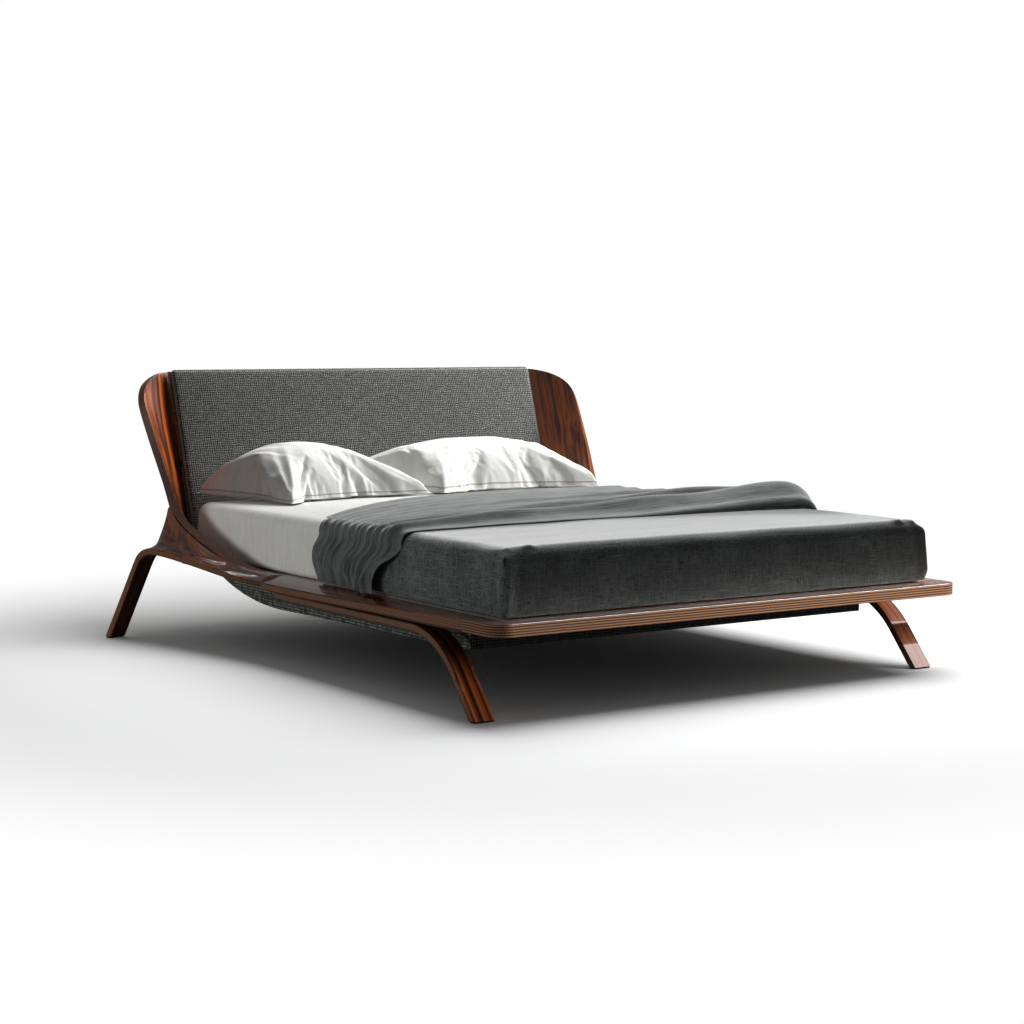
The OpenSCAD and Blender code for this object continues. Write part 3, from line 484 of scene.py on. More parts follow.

# %% [markdown]
# ## Camera and light
#
# A long lens from a low corner view keeps the bed's lines straight. One large soft lamp hangs high behind
# the right side, as a skylight would: it puts the bright light on the top of the bedding and lets the front
# fall dark. The floor has a lamp of its own, which gives the shadow under the bed. A weak wide lamp from
# the left keeps the side of the mattress readable. The floor and the far background are white to the
# camera; for all other light the floor is a mid grey, so that it does not light the bed from below.

# %% Camera
camera_data = bpy.data.cameras.new("product camera")
camera_data.lens = 71.64
camera_data.sensor_width = 36
camera = bpy.data.objects.new("product camera", camera_data)
camera.location = (-3.840, -5.717, 1.058)
camera.rotation_euler = (math.radians(85.096), 0, math.radians(-33.63))
bpy.context.scene.collection.objects.link(camera)
bpy.context.scene.camera = camera
print("camera lens", camera_data.lens, "mm")


# %% Lamps, world and floor
def soft_lamp(name, place, target, size, watts):
    data = bpy.data.lights.new(name, "AREA")
    data.shape = "RECTANGLE"
    data.size, data.size_y = size
    data.energy = watts
    made = bpy.data.objects.new(name, data)
    made.location = place
    aim = Vector(target) - Vector(place)
    made.rotation_euler = aim.to_track_quat("-Z", "Y").to_euler()
    bpy.context.scene.collection.objects.link(made)
    return made


world = bpy.data.worlds.new("studio")
world.use_nodes = True
bpy.context.scene.world = world
tree = world.node_tree
tree.nodes.clear()
path = add(tree, "ShaderNodeLightPath").outputs
clear_rays = math_node(tree, "MAXIMUM", path["Is Camera Ray"], path["Is Transmission Ray"])
ambient = add(tree, "ShaderNodeBackground", Color=(1, 1, 1, 1), Strength=0.13)
glossy = add(tree, "ShaderNodeBackground", Color=(1, 1, 1, 1), Strength=0.16)
white = add(tree, "ShaderNodeBackground", Color=(1, 1, 1, 1), Strength=1.0)
seen = add(tree, "ShaderNodeMixShader", Fac=path["Is Glossy Ray"], _1=ambient.outputs[0],
           _2=glossy.outputs[0])
seen = add(tree, "ShaderNodeMixShader", Fac=clear_rays, _1=seen.outputs[0], _2=white.outputs[0])
add(tree, "ShaderNodeOutputWorld", Surface=seen.outputs[0])

FLOOR, tree = new_material("white studio floor")
path = add(tree, "ShaderNodeLightPath").outputs
clear_rays = math_node(tree, "MAXIMUM", path["Is Camera Ray"], path["Is Transmission Ray"])
tone = mix(tree, clear_rays, (0.16, 0.16, 0.16, 1), (1.38, 1.4, 1.39, 1))
lit = add(tree, "ShaderNodeBsdfDiffuse", Color=tone)
pure = add(tree, "ShaderNodeEmission", Color=(1, 1, 1, 1), Strength=1.0)
away = add(tree, "ShaderNodeVectorMath", {"operation": "LENGTH"}, _0=object_point(tree))
far = add(tree, "ShaderNodeMapRange", {"interpolation_type": "SMOOTHSTEP"},
          Value=away.outputs["Value"], _1=1.6, _2=3.0)
far = math_node(tree, "MULTIPLY", far.outputs[0], clear_rays)
floor_face = add(tree, "ShaderNodeMixShader", Fac=far, _1=lit.outputs[0], _2=pure.outputs[0])
add(tree, "ShaderNodeOutputMaterial", Surface=floor_face.outputs[0])
bpy.ops.object.select_all(action="DESELECT")
bpy.ops.mesh.primitive_plane_add(size=60, location=(0, 0, 0))
floor = bpy.context.object
floor.name = "studio_floor"
floor.data.materials.append(FLOOR)
bpy.context.scene.view_settings.view_transform = "Standard"
print("white world and floor")

# %% [markdown]
# ## The plywood shells
#
# The shells' shapes are already right, so each is copied, its loose triangles are joined,
# and its sharp edges get a rounding of a few millimetres: that is what a router and
# sandpaper leave, and it is where the lacquer catches the light. To draw the plies, the
# copy must know which of its points lie on which face. A flood fill over edges that bend
# by less than 40 degrees finds the two big faces, and their points get ply 0 and ply 1.

# %% Copying a shell
def sheet_sides(mesh, limit=math.radians(40), least_width=0.04):
    """For each point, 0 if it is on the largest smooth face or one that looks the same way,
    1 if on a face that looks the other way, and 0.5 on the narrow edges."""
    edge_faces = {}
    for face in mesh.polygons:
        for key in face.edge_keys:
            edge_faces.setdefault(key, []).append(face.index)
    normals = [face.normal.copy() for face in mesh.polygons]
    near = [[] for _ in mesh.polygons]
    for pair in edge_faces.values():
        if len(pair) == 2 and normals[pair[0]].angle(normals[pair[1]], 0) < limit:
            near[pair[0]].append(pair[1])
            near[pair[1]].append(pair[0])
    group = [-1] * len(near)
    groups = []
    for start in range(len(near)):
        if group[start] >= 0:
            continue
        todo, members = [start], []
        group[start] = len(groups)
        while todo:
            k = todo.pop()
            members.append(k)
            for other in near[k]:
                if group[other] < 0:
                    group[other] = len(groups)
                    todo.append(other)
        groups.append(members)
    facing, widths, areas = [], [], []
    for members in groups:
        area = sum(mesh.polygons[k].area for k in members)
        corners = np.array([mesh.vertices[v].co for k in members for v in mesh.polygons[k].vertices])
        length = np.linalg.norm(corners.max(0) - corners.min(0))
        facing.append(sum((normals[k] * mesh.polygons[k].area for k in members), Vector()))
        widths.append(area / length)
        areas.append(area)
    first = max(range(len(groups)), key=lambda g: areas[g])
    side = np.full(len(mesh.vertices), 0.5)
    for g, members in enumerate(groups):
        if widths[g] > least_width:
            value = 0.0 if facing[g].dot(facing[first]) > 0 else 1.0
            for k in members:
                side[list(mesh.polygons[k].vertices)] = value
    return side


def strip_sides(mesh):
    """The same for a bent strip whose width is along X: 1 on its upper and forward side.
    Each face votes with its area, and the cut that stands on the floor has no vote."""
    votes = np.zeros(len(mesh.vertices))
    for face in mesh.polygons:
        if abs(face.normal.x) < 0.5 and face.center.z > 0.03:
            upper = face.normal.z * 0.8 - face.normal.y * 0.6 > 0
            votes[list(face.vertices)] += face.area if upper else -face.area
    return 0.5 + 0.5 * np.sign(votes)


def store(obj, name, kind, values):
    made = obj.data.attributes.new(name, kind, "POINT")
    key = "vector" if kind == "FLOAT_VECTOR" else "value"
    made.data.foreach_set(key, np.ascontiguousarray(values, float).ravel())


def plywood(node, material, grain_of, edge_mm=2.5, moulded=False):
    """A finished copy of a shell: joined, rounded, with its plies and its grain marked.
    A moulded shell is also smoothed, because a press leaves no flats."""
    source = frame["nodes"][node]
    made = source.copy()
    made.data = source.data.copy()
    made.name = "ply_" + node
    bpy.context.scene.collection.objects.link(made)
    made.parent = None
    made.matrix_world = Matrix.Identity(4)
    made.hide_render = False
    edit(made, lambda: bpy.ops.mesh.remove_doubles(threshold=0.00005),
         lambda: bpy.ops.mesh.tris_convert_to_quads(face_threshold=0.7, shape_threshold=0.9))
    for old in list(made.data.attributes):
        if old.name in ("grain", "ply"):
            made.data.attributes.remove(old)
    sides = strip_sides if node.startswith("front_leg") else sheet_sides
    store(made, "ply", "FLOAT", sides(made.data))
    apply_modifier(made, "BEVEL", width=edge_mm * MM, segments=3, limit_method="ANGLE",
                   angle_limit=math.radians(45), harden_normals=False)
    if moulded:
        apply_modifier(made, "SUBSURF", levels=1, render_levels=1)
    co = points_of(made)
    store(made, "grain", "FLOAT_VECTOR", grain_of(co))
    smooth_shade(made, 42)
    apply_modifier(made, "WEIGHTED_NORMAL", weight=60, keep_sharp=True)
    dress(made, material, "frame", node, slot="walnut_ply")
    return made


def grain_up(co):
    """Grain that climbs the raked shell."""
    up = co[:, 1] * math.sin(RAKE) + co[:, 2] * math.cos(RAKE)
    through = co[:, 1] * math.cos(RAKE) - co[:, 2] * math.sin(RAKE)
    return np.column_stack([co[:, 0], through, up])


def grain_along(co):
    """Grain that runs with the side of the bed, and follows a leg down past the knee."""
    beyond = ease(0.6, 0.9, co[:, 1])
    down = ease(0.55, 0.95, co[:, 1]) * (0.45 - co[:, 2])
    across = np.abs(co[:, 0]) - 0.27 * (co[:, 1] - 0.8) * beyond
    return np.column_stack([across, 0.3 * co[:, 2] * (1 - beyond), co[:, 1] + 2 * down])


def grain_across(co):
    return np.column_stack([co[:, 1], co[:, 2], co[:, 0]])


def grain_leg(co):
    """Grain along the front leg: down the leg, then back along its rail."""
    return np.column_stack([co[:, 0] * 1.6, 0 * co[:, 0], co[:, 1] * 0.6 - co[:, 2]])


SHELLS = {"wing": (VENEER, grain_up, 7.0), "platform_side": (DECK_VENEER, grain_along, 7.0),
          "front_leg": (DECK_VENEER, grain_leg, 4.5), "knee_block": (DECK_VENEER, grain_along, 2.0)}
for part, (material, grain_of, edge) in SHELLS.items():
    for side in ("left", "right"):
        made = plywood(f"{part}_{side}", material, grain_of, edge, part != "knee_block")
        print(made.name, len(made.data.polygons), "faces")
for part, material, grain_of in (("platform_foot", DECK_VENEER, grain_across),
                                 ("platform_head", DECK_VENEER, grain_across),
                                 ("platform_infill", DECK_VENEER, grain_across),
                                 ("back_panel", VENEER, grain_up)):
    made = plywood(part, material, grain_of, 9.0 if part == "platform_foot" else 2.0)
    print(made.name, len(made.data.polygons), "faces")

# %% [markdown]
# ## Joinery that keeps its construction shape
#
# Slats, battens, brackets and screws are already the pieces that a workshop makes. They
# only need their finishes.

# %% Finishes on the construction parts
FINISHES = {
    STAINED: ["box_side_left", "box_side_right", "box_foot", "box_bottom", "rear_rail",
              "rail_blocks"],
    BEECH: ["centre_beam", "ledger_left", "ledger_right", "slats_left", "slats_right",
            "corner_blocks", "panel_cleats", "pad_cleats", "pad_board"],
    STEEL: ["rail_bolts", "rail_inserts", "ledger_screws", "beam_hangers", "back_brackets",
            "bracket_screws"],
    PLASTIC: ["side_slat_holders", "centre_slat_holders", "pad_side_clips"],
    RUBBER: ["front_glides", "rear_glides"],
    BOX_TWEED: ["box_cover"],
}
for material, nodes in FINISHES.items():
    for node in nodes:
        piece = frame["nodes"][node]
        piece.data.materials.clear()
        piece.data.materials.append(material)
    print(material.name, "on", len(nodes), "nodes")

# %% [markdown]
# ## A soft block
#
# Mattress, linen and pad are all a box with rounded edges that swells a little in the
# middle. A cube is subdivided, its rows are crowded towards the edges where the rounding
# needs them, and each point is drawn onto the rounded shape. This gives even quads without
# a pole, which a bevelled cube would not.

# %% Soft block
def soft_block(name, low, high, cuts, top_r, bottom_r, crown=0.0, bulge=0.0):
    """A rounded box between two corners, in metres, with a crowned top and bulging sides."""
    bpy.ops.object.select_all(action="DESELECT")
    bpy.ops.mesh.primitive_cube_add(size=2, location=(0, 0, 0))
    made = bpy.context.object
    made.name = name
    made.data.name = name
    edit(made, lambda: bpy.ops.mesh.subdivide(number_cuts=cuts))
    u = points_of(made)
    crowded = 0.3 * u + 0.7 * np.sin(u * math.pi / 2)
    half = (np.array(high) - np.array(low)) / 2
    middle = (np.array(high) + np.array(low)) / 2
    p = crowded * half
    rise = ease(-1, 1, u[:, 2])
    r_flat = bottom_r + (top_r - bottom_r) * rise
    r_up = np.where(u[:, 2] > 0, top_r, bottom_r)
    r = np.column_stack([r_flat, r_flat, r_up])
    inner = np.clip(p, -(half - r), half - r)
    d = (p - inner) / r
    length = np.linalg.norm(d, axis=1)
    length[length == 0] = 1
    p = inner + r * d / length[:, None]
    share = p / half
    crowned = np.clip(1 - share[:, 0] ** 2, 0, 1) * np.clip(1 - share[:, 1] ** 2, 0, 1)
    p[:, 2] += crown * crowned ** 0.7 * (share[:, 2] > 0)
    swell = bulge * np.clip(1 - share[:, 2] ** 2, 0, 1)
    for axis, other in ((0, 1), (1, 0)):
        p[:, axis] += swell * share[:, axis] ** 7 * np.clip(1 - share[:, other] ** 8, 0, 1)
    set_points(made, p + middle)
    return made


def sheet_top(x, y):
    """Height of the made-up mattress at a place, in metres."""
    u = (x - 0) / (mattress_high.x + 0.003)
    v = (y - bed_y) / (mattress_high.y - bed_y + 0.003)
    crowned = np.clip(1 - u ** 2, 0, 1) * np.clip(1 - v ** 2, 0, 1)
    return mattress_high.z + 0.003 + BED_CROWN * crowned ** 0.7


BED_CROWN = 0.012
TOP_R, BOTTOM_R = 0.042, 0.02

# %% [markdown]
# ## Mattress and fitted sheet
#
# The mattress is a crowned block, dressed in the same white linen as the sheet. It is hidden once the bed
# is made, and seen again when the linen is off, so it still gets its border seams. The fitted sheet is one
# skin that grips it: flat on top, pulled into long soft waves down the sides, and tucked under at the
# bottom, where the mattress holds it.

# %% Mattress
mattress = soft_block("foam_mattress", mattress_low, mattress_high, 44, TOP_R, BOTTOM_R,
                      BED_CROWN, 0.0)
co = points_of(mattress)
for border in (deck_z + 0.036, mattress_high.z - 0.036):
    groove = np.exp(-((co[:, 2] - border) / 0.006) ** 2) * 0.003
    away = co - np.array([0, bed_y, 0])
    outer = np.abs(away[:, :2]) > np.array([mattress_high.x, mattress_high.y - bed_y]) - 0.03
    co[:, :2] -= np.sign(away[:, :2]) * outer * groove[:, None]
set_points(mattress, co)
smooth_shade(mattress, 60)
dress(mattress, LINEN, "bedding", "mattress", slot="white_linen")
print(mattress.name, len(mattress.data.polygons), "faces")

# %% Fitted sheet
skin_low = Vector(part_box("fitted_sheet")[0])
skin_high = Vector(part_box("fitted_sheet")[1])
sheet = soft_block("fitted_sheet_linen", skin_low, skin_high, 90, TOP_R + 0.002,
                   BOTTOM_R, BED_CROWN, 0.0)
co = points_of(sheet)
middle = np.array([0, bed_y, 0])
side_x = ease(0.74, 0.79, np.abs(co[:, 0]))
side_y = ease(0.94, 0.985, np.abs(co[:, 1] - bed_y))
depth = ease(0.46, 0.40, co[:, 2])
wave = ripple(co * np.array([0.4, 1, 0.25]), 9.0, 3) * 0.5 + ripple(co, 5.0, 5) * 0.5
co[:, 0] += np.sign(co[:, 0]) * side_x * depth * 0.006 * (wave - 0.1)
co[:, 1] += np.sign(co[:, 1] - bed_y) * side_y * depth * 0.006 * (wave - 0.1)
creases = ripple(co * np.array([1, 0.35, 1]), 7.0, 9)
co[:, 2] += (1 - side_x) * (1 - side_y) * 0.0015 * creases * (co[:, 2] > 0.4)
set_points(sheet, co)
select_faces(sheet, lambda c, n: c.z < skin_low.z + 0.006 and abs(c.x) < 0.72
             and abs(c.y - bed_y) < 0.92)
edit_delete = lambda: bpy.ops.mesh.delete(type="FACE")
only(sheet)
bpy.ops.object.mode_set(mode="EDIT")
edit_delete()
bpy.ops.object.mode_set(mode="OBJECT")
apply_modifier(sheet, "SOLIDIFY", thickness=0.0012, offset=-1.0)
smooth_shade(sheet, 60)
dress(sheet, LINEN, "bedding", "fitted_sheet", slot="white_linen")

# %% [markdown]
# ## Coverlet
#
# The coverlet is cut like a box lid and sewn down its two front corners, so it fits the
# foot of the mattress without folds. It is a second skin just outside the first, open at
# the head end and at the bottom. The corner seams pull the cloth in a little on both sides
# and stand up as a small ear where they meet the top.

# %% Coverlet
COVER_END = bed_y - 0.02
COVER = slub_cotton("slubbed charcoal cotton", "080a0a", "6e7572",
                    cover_high.x - 0.006, cover_low.y + 0.006, cover_high.z - 0.012)
coverlet = soft_block("coverlet_cotton", cover_low, (cover_high.x, mattress_high.y, cover_high.z),
                      110, TOP_R + 0.004, 0.012, BED_CROWN, 0.005)
co = points_of(coverlet)
away = co - np.array([0, 0, 0])
side_x = ease(0.745, 0.79, np.abs(co[:, 0]))
front = ease(cover_low.y + 0.06, cover_low.y + 0.01, co[:, 1])
upright = ease(0.44, 0.40, co[:, 2])
wave = ripple(co * np.array([1, 0.5, 1.6]), 6.0, 21)
co[:, 0] += np.sign(co[:, 0]) * side_x * upright * 0.004 * wave
co[:, 1] -= front * upright * 0.004 * ripple(co * np.array([0.5, 1, 1.8]), 6.0, 23)
top = ease(0.47, 0.48, co[:, 2])
co[:, 2] += top * 0.0022 * ripple(co * np.array([0.5, 1.3, 1]), 8.0, 25)
corner_x = cover_high.x - 0.014 - np.abs(co[:, 0])
corner_y = co[:, 1] - cover_low.y - 0.014
from_seam = np.hypot(np.maximum(corner_x, 0), np.maximum(corner_y, 0))
seam = np.exp(-(from_seam / 0.01) ** 2)
beside = np.exp(-((from_seam - 0.03) / 0.016) ** 2)
tall = ease(0.29, 0.33, co[:, 2])
pull = (0.008 * seam - 0.0035 * beside) * tall
co[:, 0] += np.sign(co[:, 0]) * pull * (np.abs(co[:, 0]) > 0.72)
co[:, 1] -= pull * (co[:, 1] < cover_low.y + 0.08)
for ear_x, ear_h in ((0.782, 0.013), (0.70, 0.009)):
    ear = np.exp(-((np.abs(co[:, 0]) - ear_x) ** 2 + (co[:, 1] - cover_low.y - 0.022) ** 2)
                 / 0.02 ** 2)
    co[:, 2] += ear_h * ear * top
pocket = np.exp(-((np.abs(co[:, 0]) - 0.74) / 0.022) ** 2) * ease(0.38, 0.46, co[:, 2])
co[:, 1] += 0.004 * pocket * front
set_points(coverlet, co)
select_faces(coverlet, lambda c, n: c.y > COVER_END or (n.z < -0.5 and c.z < cover_low.z + 0.03))
only(coverlet)
bpy.ops.object.mode_set(mode="EDIT")
bpy.ops.mesh.delete(type="FACE")
bpy.ops.object.mode_set(mode="OBJECT")
apply_modifier(coverlet, "SOLIDIFY", thickness=0.0022, offset=-1.0)
smooth_shade(coverlet, 60)
dress(coverlet, COVER, "bedding", "coverlet", slot="charcoal_cover")

# %% [markdown]
# ## Throw
#
# The throw is one length of soft wool, pushed together into folds and laid askew. Its
# folds start as gathers down the left side of the mattress, sweep over the edge and run
# across the bed, where they get taller towards the right. Cloth that was arranged by hand
# is hard to get from a simulation, so it is drawn as a stylist would lay it: two edge
# lines, one on the head side and one on the foot side, the lines between them, and a
# height for each fold. "t" goes from the head-side edge to the foot-side edge, and the
# rows go up the left side, over the edge, across the top and down the right side.

# %% Lines of the throw
def line(points, x):
    """Smooth curve through given (place, value) points, read at x."""
    px, py = np.array(points, float).T
    slope = np.gradient(py, px)
    k = np.clip(np.searchsorted(px, x) - 1, 0, len(px) - 2)
    h = px[k + 1] - px[k]
    u = np.clip((x - px[k]) / h, 0, 1)
    return ((2 * u ** 3 - 3 * u ** 2 + 1) * py[k] + (u ** 3 - 2 * u ** 2 + u) * h * slope[k]
            + (3 * u ** 2 - 2 * u ** 3) * py[k + 1] + (u ** 3 - u ** 2) * h * slope[k + 1])


# edges on top, in millimetres from the middle of the mattress: (across, along)
HEAD_EDGE = [(-800, 44), (-650, 190), (-470, 340), (-250, 490), (0, 590), (250, 622), (800, 632)]
FOOT_EDGE = [(-800, -458), (-500, -482), (0, -496), (400, -492), (800, -474)]
# edges down the left side, hem first: (share of the fall, along) and (share, height)
DROP_HEAD_Y = [(0, 58), (0.3, 92), (0.6, 86), (0.8, 64), (1, 44)]
DROP_HEAD_Z = [(0, 296), (0.25, 340), (0.6, 396), (1, 440)]
DROP_FOOT_Y = [(0, -336), (0.3, -338), (0.6, -380), (0.8, -432), (1, -458)]
DROP_FOOT_Z = [(0, 291), (0.3, 335), (0.62, 386), (1, 440)]
# folds: place between the edges, width, height at the hem, the left edge, middle and right
FOLDS = [(0.05, 0.03, 5, 2, 6, 9), (0.14, 0.028, 16, 3, 5, 8), (0.225, 0.024, 7, 3, 7, 10),
         (0.31, 0.022, 17, 3, 9, 14), (0.385, 0.022, 6, 4, 7, 12), (0.46, 0.02, 12, 4, 13, 24),
         (0.54, 0.022, 21, 5, 9, 14), (0.62, 0.022, 7, 6, 18, 30), (0.70, 0.026, 20, 10, 24, 38),
         (0.79, 0.028, 9, 7, 9, 16), (0.9, 0.04, 26, 24, 38, 56)]
FALL_ROWS, BEND_ROWS, TOP_ROWS, ACROSS = 30, 9, 190, 190
THROW_R = TOP_R + 0.006


def throw_base(row, t):
    """Place, outward direction and progress of one row of the throw, before its folds."""
    out_x = cover_high.x + 0.003
    side_top = cover_high.z - TOP_R
    right_drop = 0.11
    if row < FALL_ROWS:
        s = row / FALL_ROWS
        y = (1 - t) * line(DROP_HEAD_Y, s) + t * line(DROP_FOOT_Y, s)
        z = (1 - t) * line(DROP_HEAD_Z, s) + t * line(DROP_FOOT_Z, s)
        place = np.column_stack([np.full(len(t), -out_x), bed_y + y * MM, z * MM])
        return place, np.tile([-1.0, 0, 0], (len(t), 1)), s - 1
    left_y = (1 - t) * HEAD_EDGE[0][1] + t * FOOT_EDGE[0][1]
    right_y = (1 - t) * HEAD_EDGE[-1][1] + t * FOOT_EDGE[-1][1]
    row -= FALL_ROWS
    if row < BEND_ROWS:
        a = math.pi / 2 * row / BEND_ROWS
        puff = 0.004 * math.sin(2 * a)
        place = np.column_stack([np.full(len(t), -out_x + TOP_R * (1 - math.cos(a)) - puff),
                                 bed_y + left_y * MM,
                                 np.full(len(t), side_top + TOP_R * math.sin(a) + puff)])
        return place, np.tile([-math.cos(a), 0, math.sin(a)], (len(t), 1)), 0.0
    row -= BEND_ROWS
    if row <= TOP_ROWS:
        s = row / TOP_ROWS
        x = (-out_x + TOP_R) + s * 2 * (out_x - TOP_R)
        y = bed_y + ((1 - t) * line(HEAD_EDGE, x / MM) + t * line(FOOT_EDGE, x / MM)) * MM
        z = np.maximum(sheet_top(np.full(len(t), x), y) + 0.006, cover_high.z)
        return np.column_stack([np.full(len(t), x), y, z]), np.tile([0, 0, 1.0], (len(t), 1)), s
    row -= TOP_ROWS
    if row <= BEND_ROWS:
        a = math.pi / 2 * row / BEND_ROWS
        place = np.column_stack([np.full(len(t), out_x - TOP_R * (1 - math.sin(a))),
                                 bed_y + right_y * MM,
                                 np.full(len(t), side_top + TOP_R * math.cos(a))])
        return place, np.tile([math.sin(a), 0, math.cos(a)], (len(t), 1)), 1.0
    s = (row - BEND_ROWS) / FALL_ROWS
    place = np.column_stack([np.full(len(t), out_x), bed_y + right_y * MM,
                             side_top - right_drop * s - 0.02 * s * np.sin(t * 5)])
    return place, np.tile([1.0, 0, 0], (len(t), 1)), 1.0 + s


def fold_height(t, progress):
    """Height of the folds along a row, in metres."""
    total = np.full(len(t), 0.0035)
    for k, (at, width, hem, left, middle, right) in enumerate(FOLDS):
        if progress < 0:
            height = left + (hem - left) * ease(0, 1, -progress)
            height *= 1 + 0.8 * noise.noise(Vector((k * 3.7, progress * 1.6, 2)))
        elif progress <= 1:
            height = line([(0, left), (0.5, middle), (1, right)], progress)
            height *= 1 - 0.12 * math.sin(progress * 17 + k * 2)
        else:
            height = right * (1.5 - progress) * 0.5
        drift = 0.014 * math.sin(max(progress, 0) * 5 + k * 1.7) * (0.2 < at < 0.9)
        drift += 0.022 * math.sin(k * 2.3) * ease(0, -1, progress)
        grow = 1 + 0.5 * ease(0.3, 1, min(max(progress, 0), 1)) * (at > 0.7)
        total += height * MM * np.exp(-((t - at - drift) / (width * grow)) ** 2)
    fine = np.array([noise.noise(Vector((v * 30, progress * 1.6, 4))) for v in t])
    total += np.maximum(fine, -0.4) * 0.001 * (3.5 if progress < 0 else 2.6)
    if 0 < progress <= 1:
        total += 0.02 * ease(0.45, 1, progress) * ease(0.35, 0.8, t) * (1 - ease(0.97, 1, t))
    return total


# %% Throw
t = np.linspace(0, 1, ACROSS)
rows = []
row_count = FALL_ROWS + BEND_ROWS + TOP_ROWS + BEND_ROWS + FALL_ROWS // 2
for row in range(row_count):
    place, outward, progress = throw_base(row, t)
    height = fold_height(t, progress)
    edge = ease(1.0, 0.975, t)
    height = 0.002 + (height - 0.002) * edge
    flare = 0.03 * ease(0.78, 1, t) * ease(0, -0.5, progress) if progress < 0 else 0 * t
    place = place + outward * (height + flare)[:, None]
    roll = np.exp(-((t - 0.982) / 0.012) ** 2) * ease(-0.6, 0.2, progress)
    place[:, 1] -= 0.014 * roll
    rows.append(place)
co = np.concatenate(rows)
lay = np.column_stack([np.tile(t * 1.1, row_count), np.repeat(np.arange(row_count) * 0.009, ACROSS),
                       np.zeros(len(co))])
co[:, 2] += 0.0015 * ripple(co * np.array([0.4, 1, 1]), 16.0, 31) * (co[:, 2] > 0.47)
faces = [(r * ACROSS + c, r * ACROSS + c + 1, (r + 1) * ACROSS + c + 1, (r + 1) * ACROSS + c)
         for r in range(row_count - 1) for c in range(ACROSS - 1)]
throw = mesh_object("throw_wool", co, faces)
store(throw, "lay", "FLOAT_VECTOR", lay)
edit(throw, lambda: bpy.ops.mesh.normals_make_consistent(inside=False))
apply_modifier(throw, "SOLIDIFY", thickness=0.0024, offset=0.0)
smooth_shade(throw, 60)
dress(throw, WOOL, "bedding", "throw", slot="grey_throw")

# %% [markdown]
# ## Pillows
#
# A pillow is two flat layers sewn at the edge and filled. Its puckers come from the edge
# having to shorten as the filling lifts the middle, and that is just what a short cloth
# simulation with air pressure gives. The bag is then settled: the underside is pressed
# flat on the mattress, the top is lifted to a full dome, and the sewn edge is kept thin as
# the narrow flat border that such a pillowcase has. Each bag is laid between four corners:
# the right pillow is pushed in behind the left one.

# %% Sewn and filled bag
BAG_W, BAG_L = 0.82, 0.51


def sewn_bag(name, seed):
    """Two layers of cloth with one narrow strip between them, blown up by air pressure."""
    bpy.ops.object.select_all(action="DESELECT")
    bpy.ops.mesh.primitive_grid_add(x_subdivisions=96, y_subdivisions=60, size=1)
    made = bpy.context.object
    made.name = name
    co = points_of(made) * np.array([BAG_W, BAG_L, 0])
    co[:, 2] += 0.0016 * ripple(co, 14.0, seed)
    set_points(made, co)
    edit(made, lambda: bpy.ops.mesh.extrude_region_move(
        TRANSFORM_OT_translate={"value": (0, 0, 0.005)}))
    edit(made, lambda: bpy.ops.mesh.normals_make_consistent(inside=False))
    co = points_of(made)
    from_edge = np.minimum(BAG_W / 2 - np.abs(co[:, 0]), BAG_L / 2 - np.abs(co[:, 1]))
    store(made, "hem", "FLOAT", from_edge / MM)
    only(made)
    cloth = made.modifiers.new("Cloth", "CLOTH")
    cloth.settings.quality = 6
    cloth.settings.mass = 0.25
    cloth.settings.tension_stiffness = 22
    cloth.settings.compression_stiffness = 18
    cloth.settings.shear_stiffness = 8
    cloth.settings.bending_stiffness = 0.2
    cloth.settings.use_pressure = True
    cloth.settings.uniform_pressure_force = 4.2
    cloth.settings.effector_weights.gravity = 0
    cloth.point_cache.frame_start = 1
    cloth.point_cache.frame_end = 26
    scene = bpy.context.scene
    for number in range(1, 27):
        scene.frame_set(number)
    bpy.ops.object.modifier_apply(modifier="Cloth")
    scene.frame_set(1)
    return made


def creases(u, v, seed):
    """Height of the creases that run in from the corners and the sewn edges, -1 to 1."""
    total = np.zeros(len(u))
    for k, (cu, cv) in enumerate(((-1, -1), (1, -1), (-1, 1), (1, 1))):
        du, dv = (u - cu) * 0.37, (v - cv) * 0.22
        angle, away = np.arctan2(dv, du), np.hypot(du, dv)
        rays = np.array([noise.noise(Vector((a * 9.0, r * 5.0, seed + k)))
                         for a, r in zip(angle, away)])
        total += rays * ease(0.42, 0.1, away) * ease(0.01, 0.08, away)
    edge = 1 - np.maximum(np.abs(u), np.abs(v))
    pucker = np.array([noise.noise(Vector((a * 6, b * 6, seed + 9))) for a, b in zip(u, v)])
    return total + 0.8 * pucker * ease(0.35, 0.08, edge)


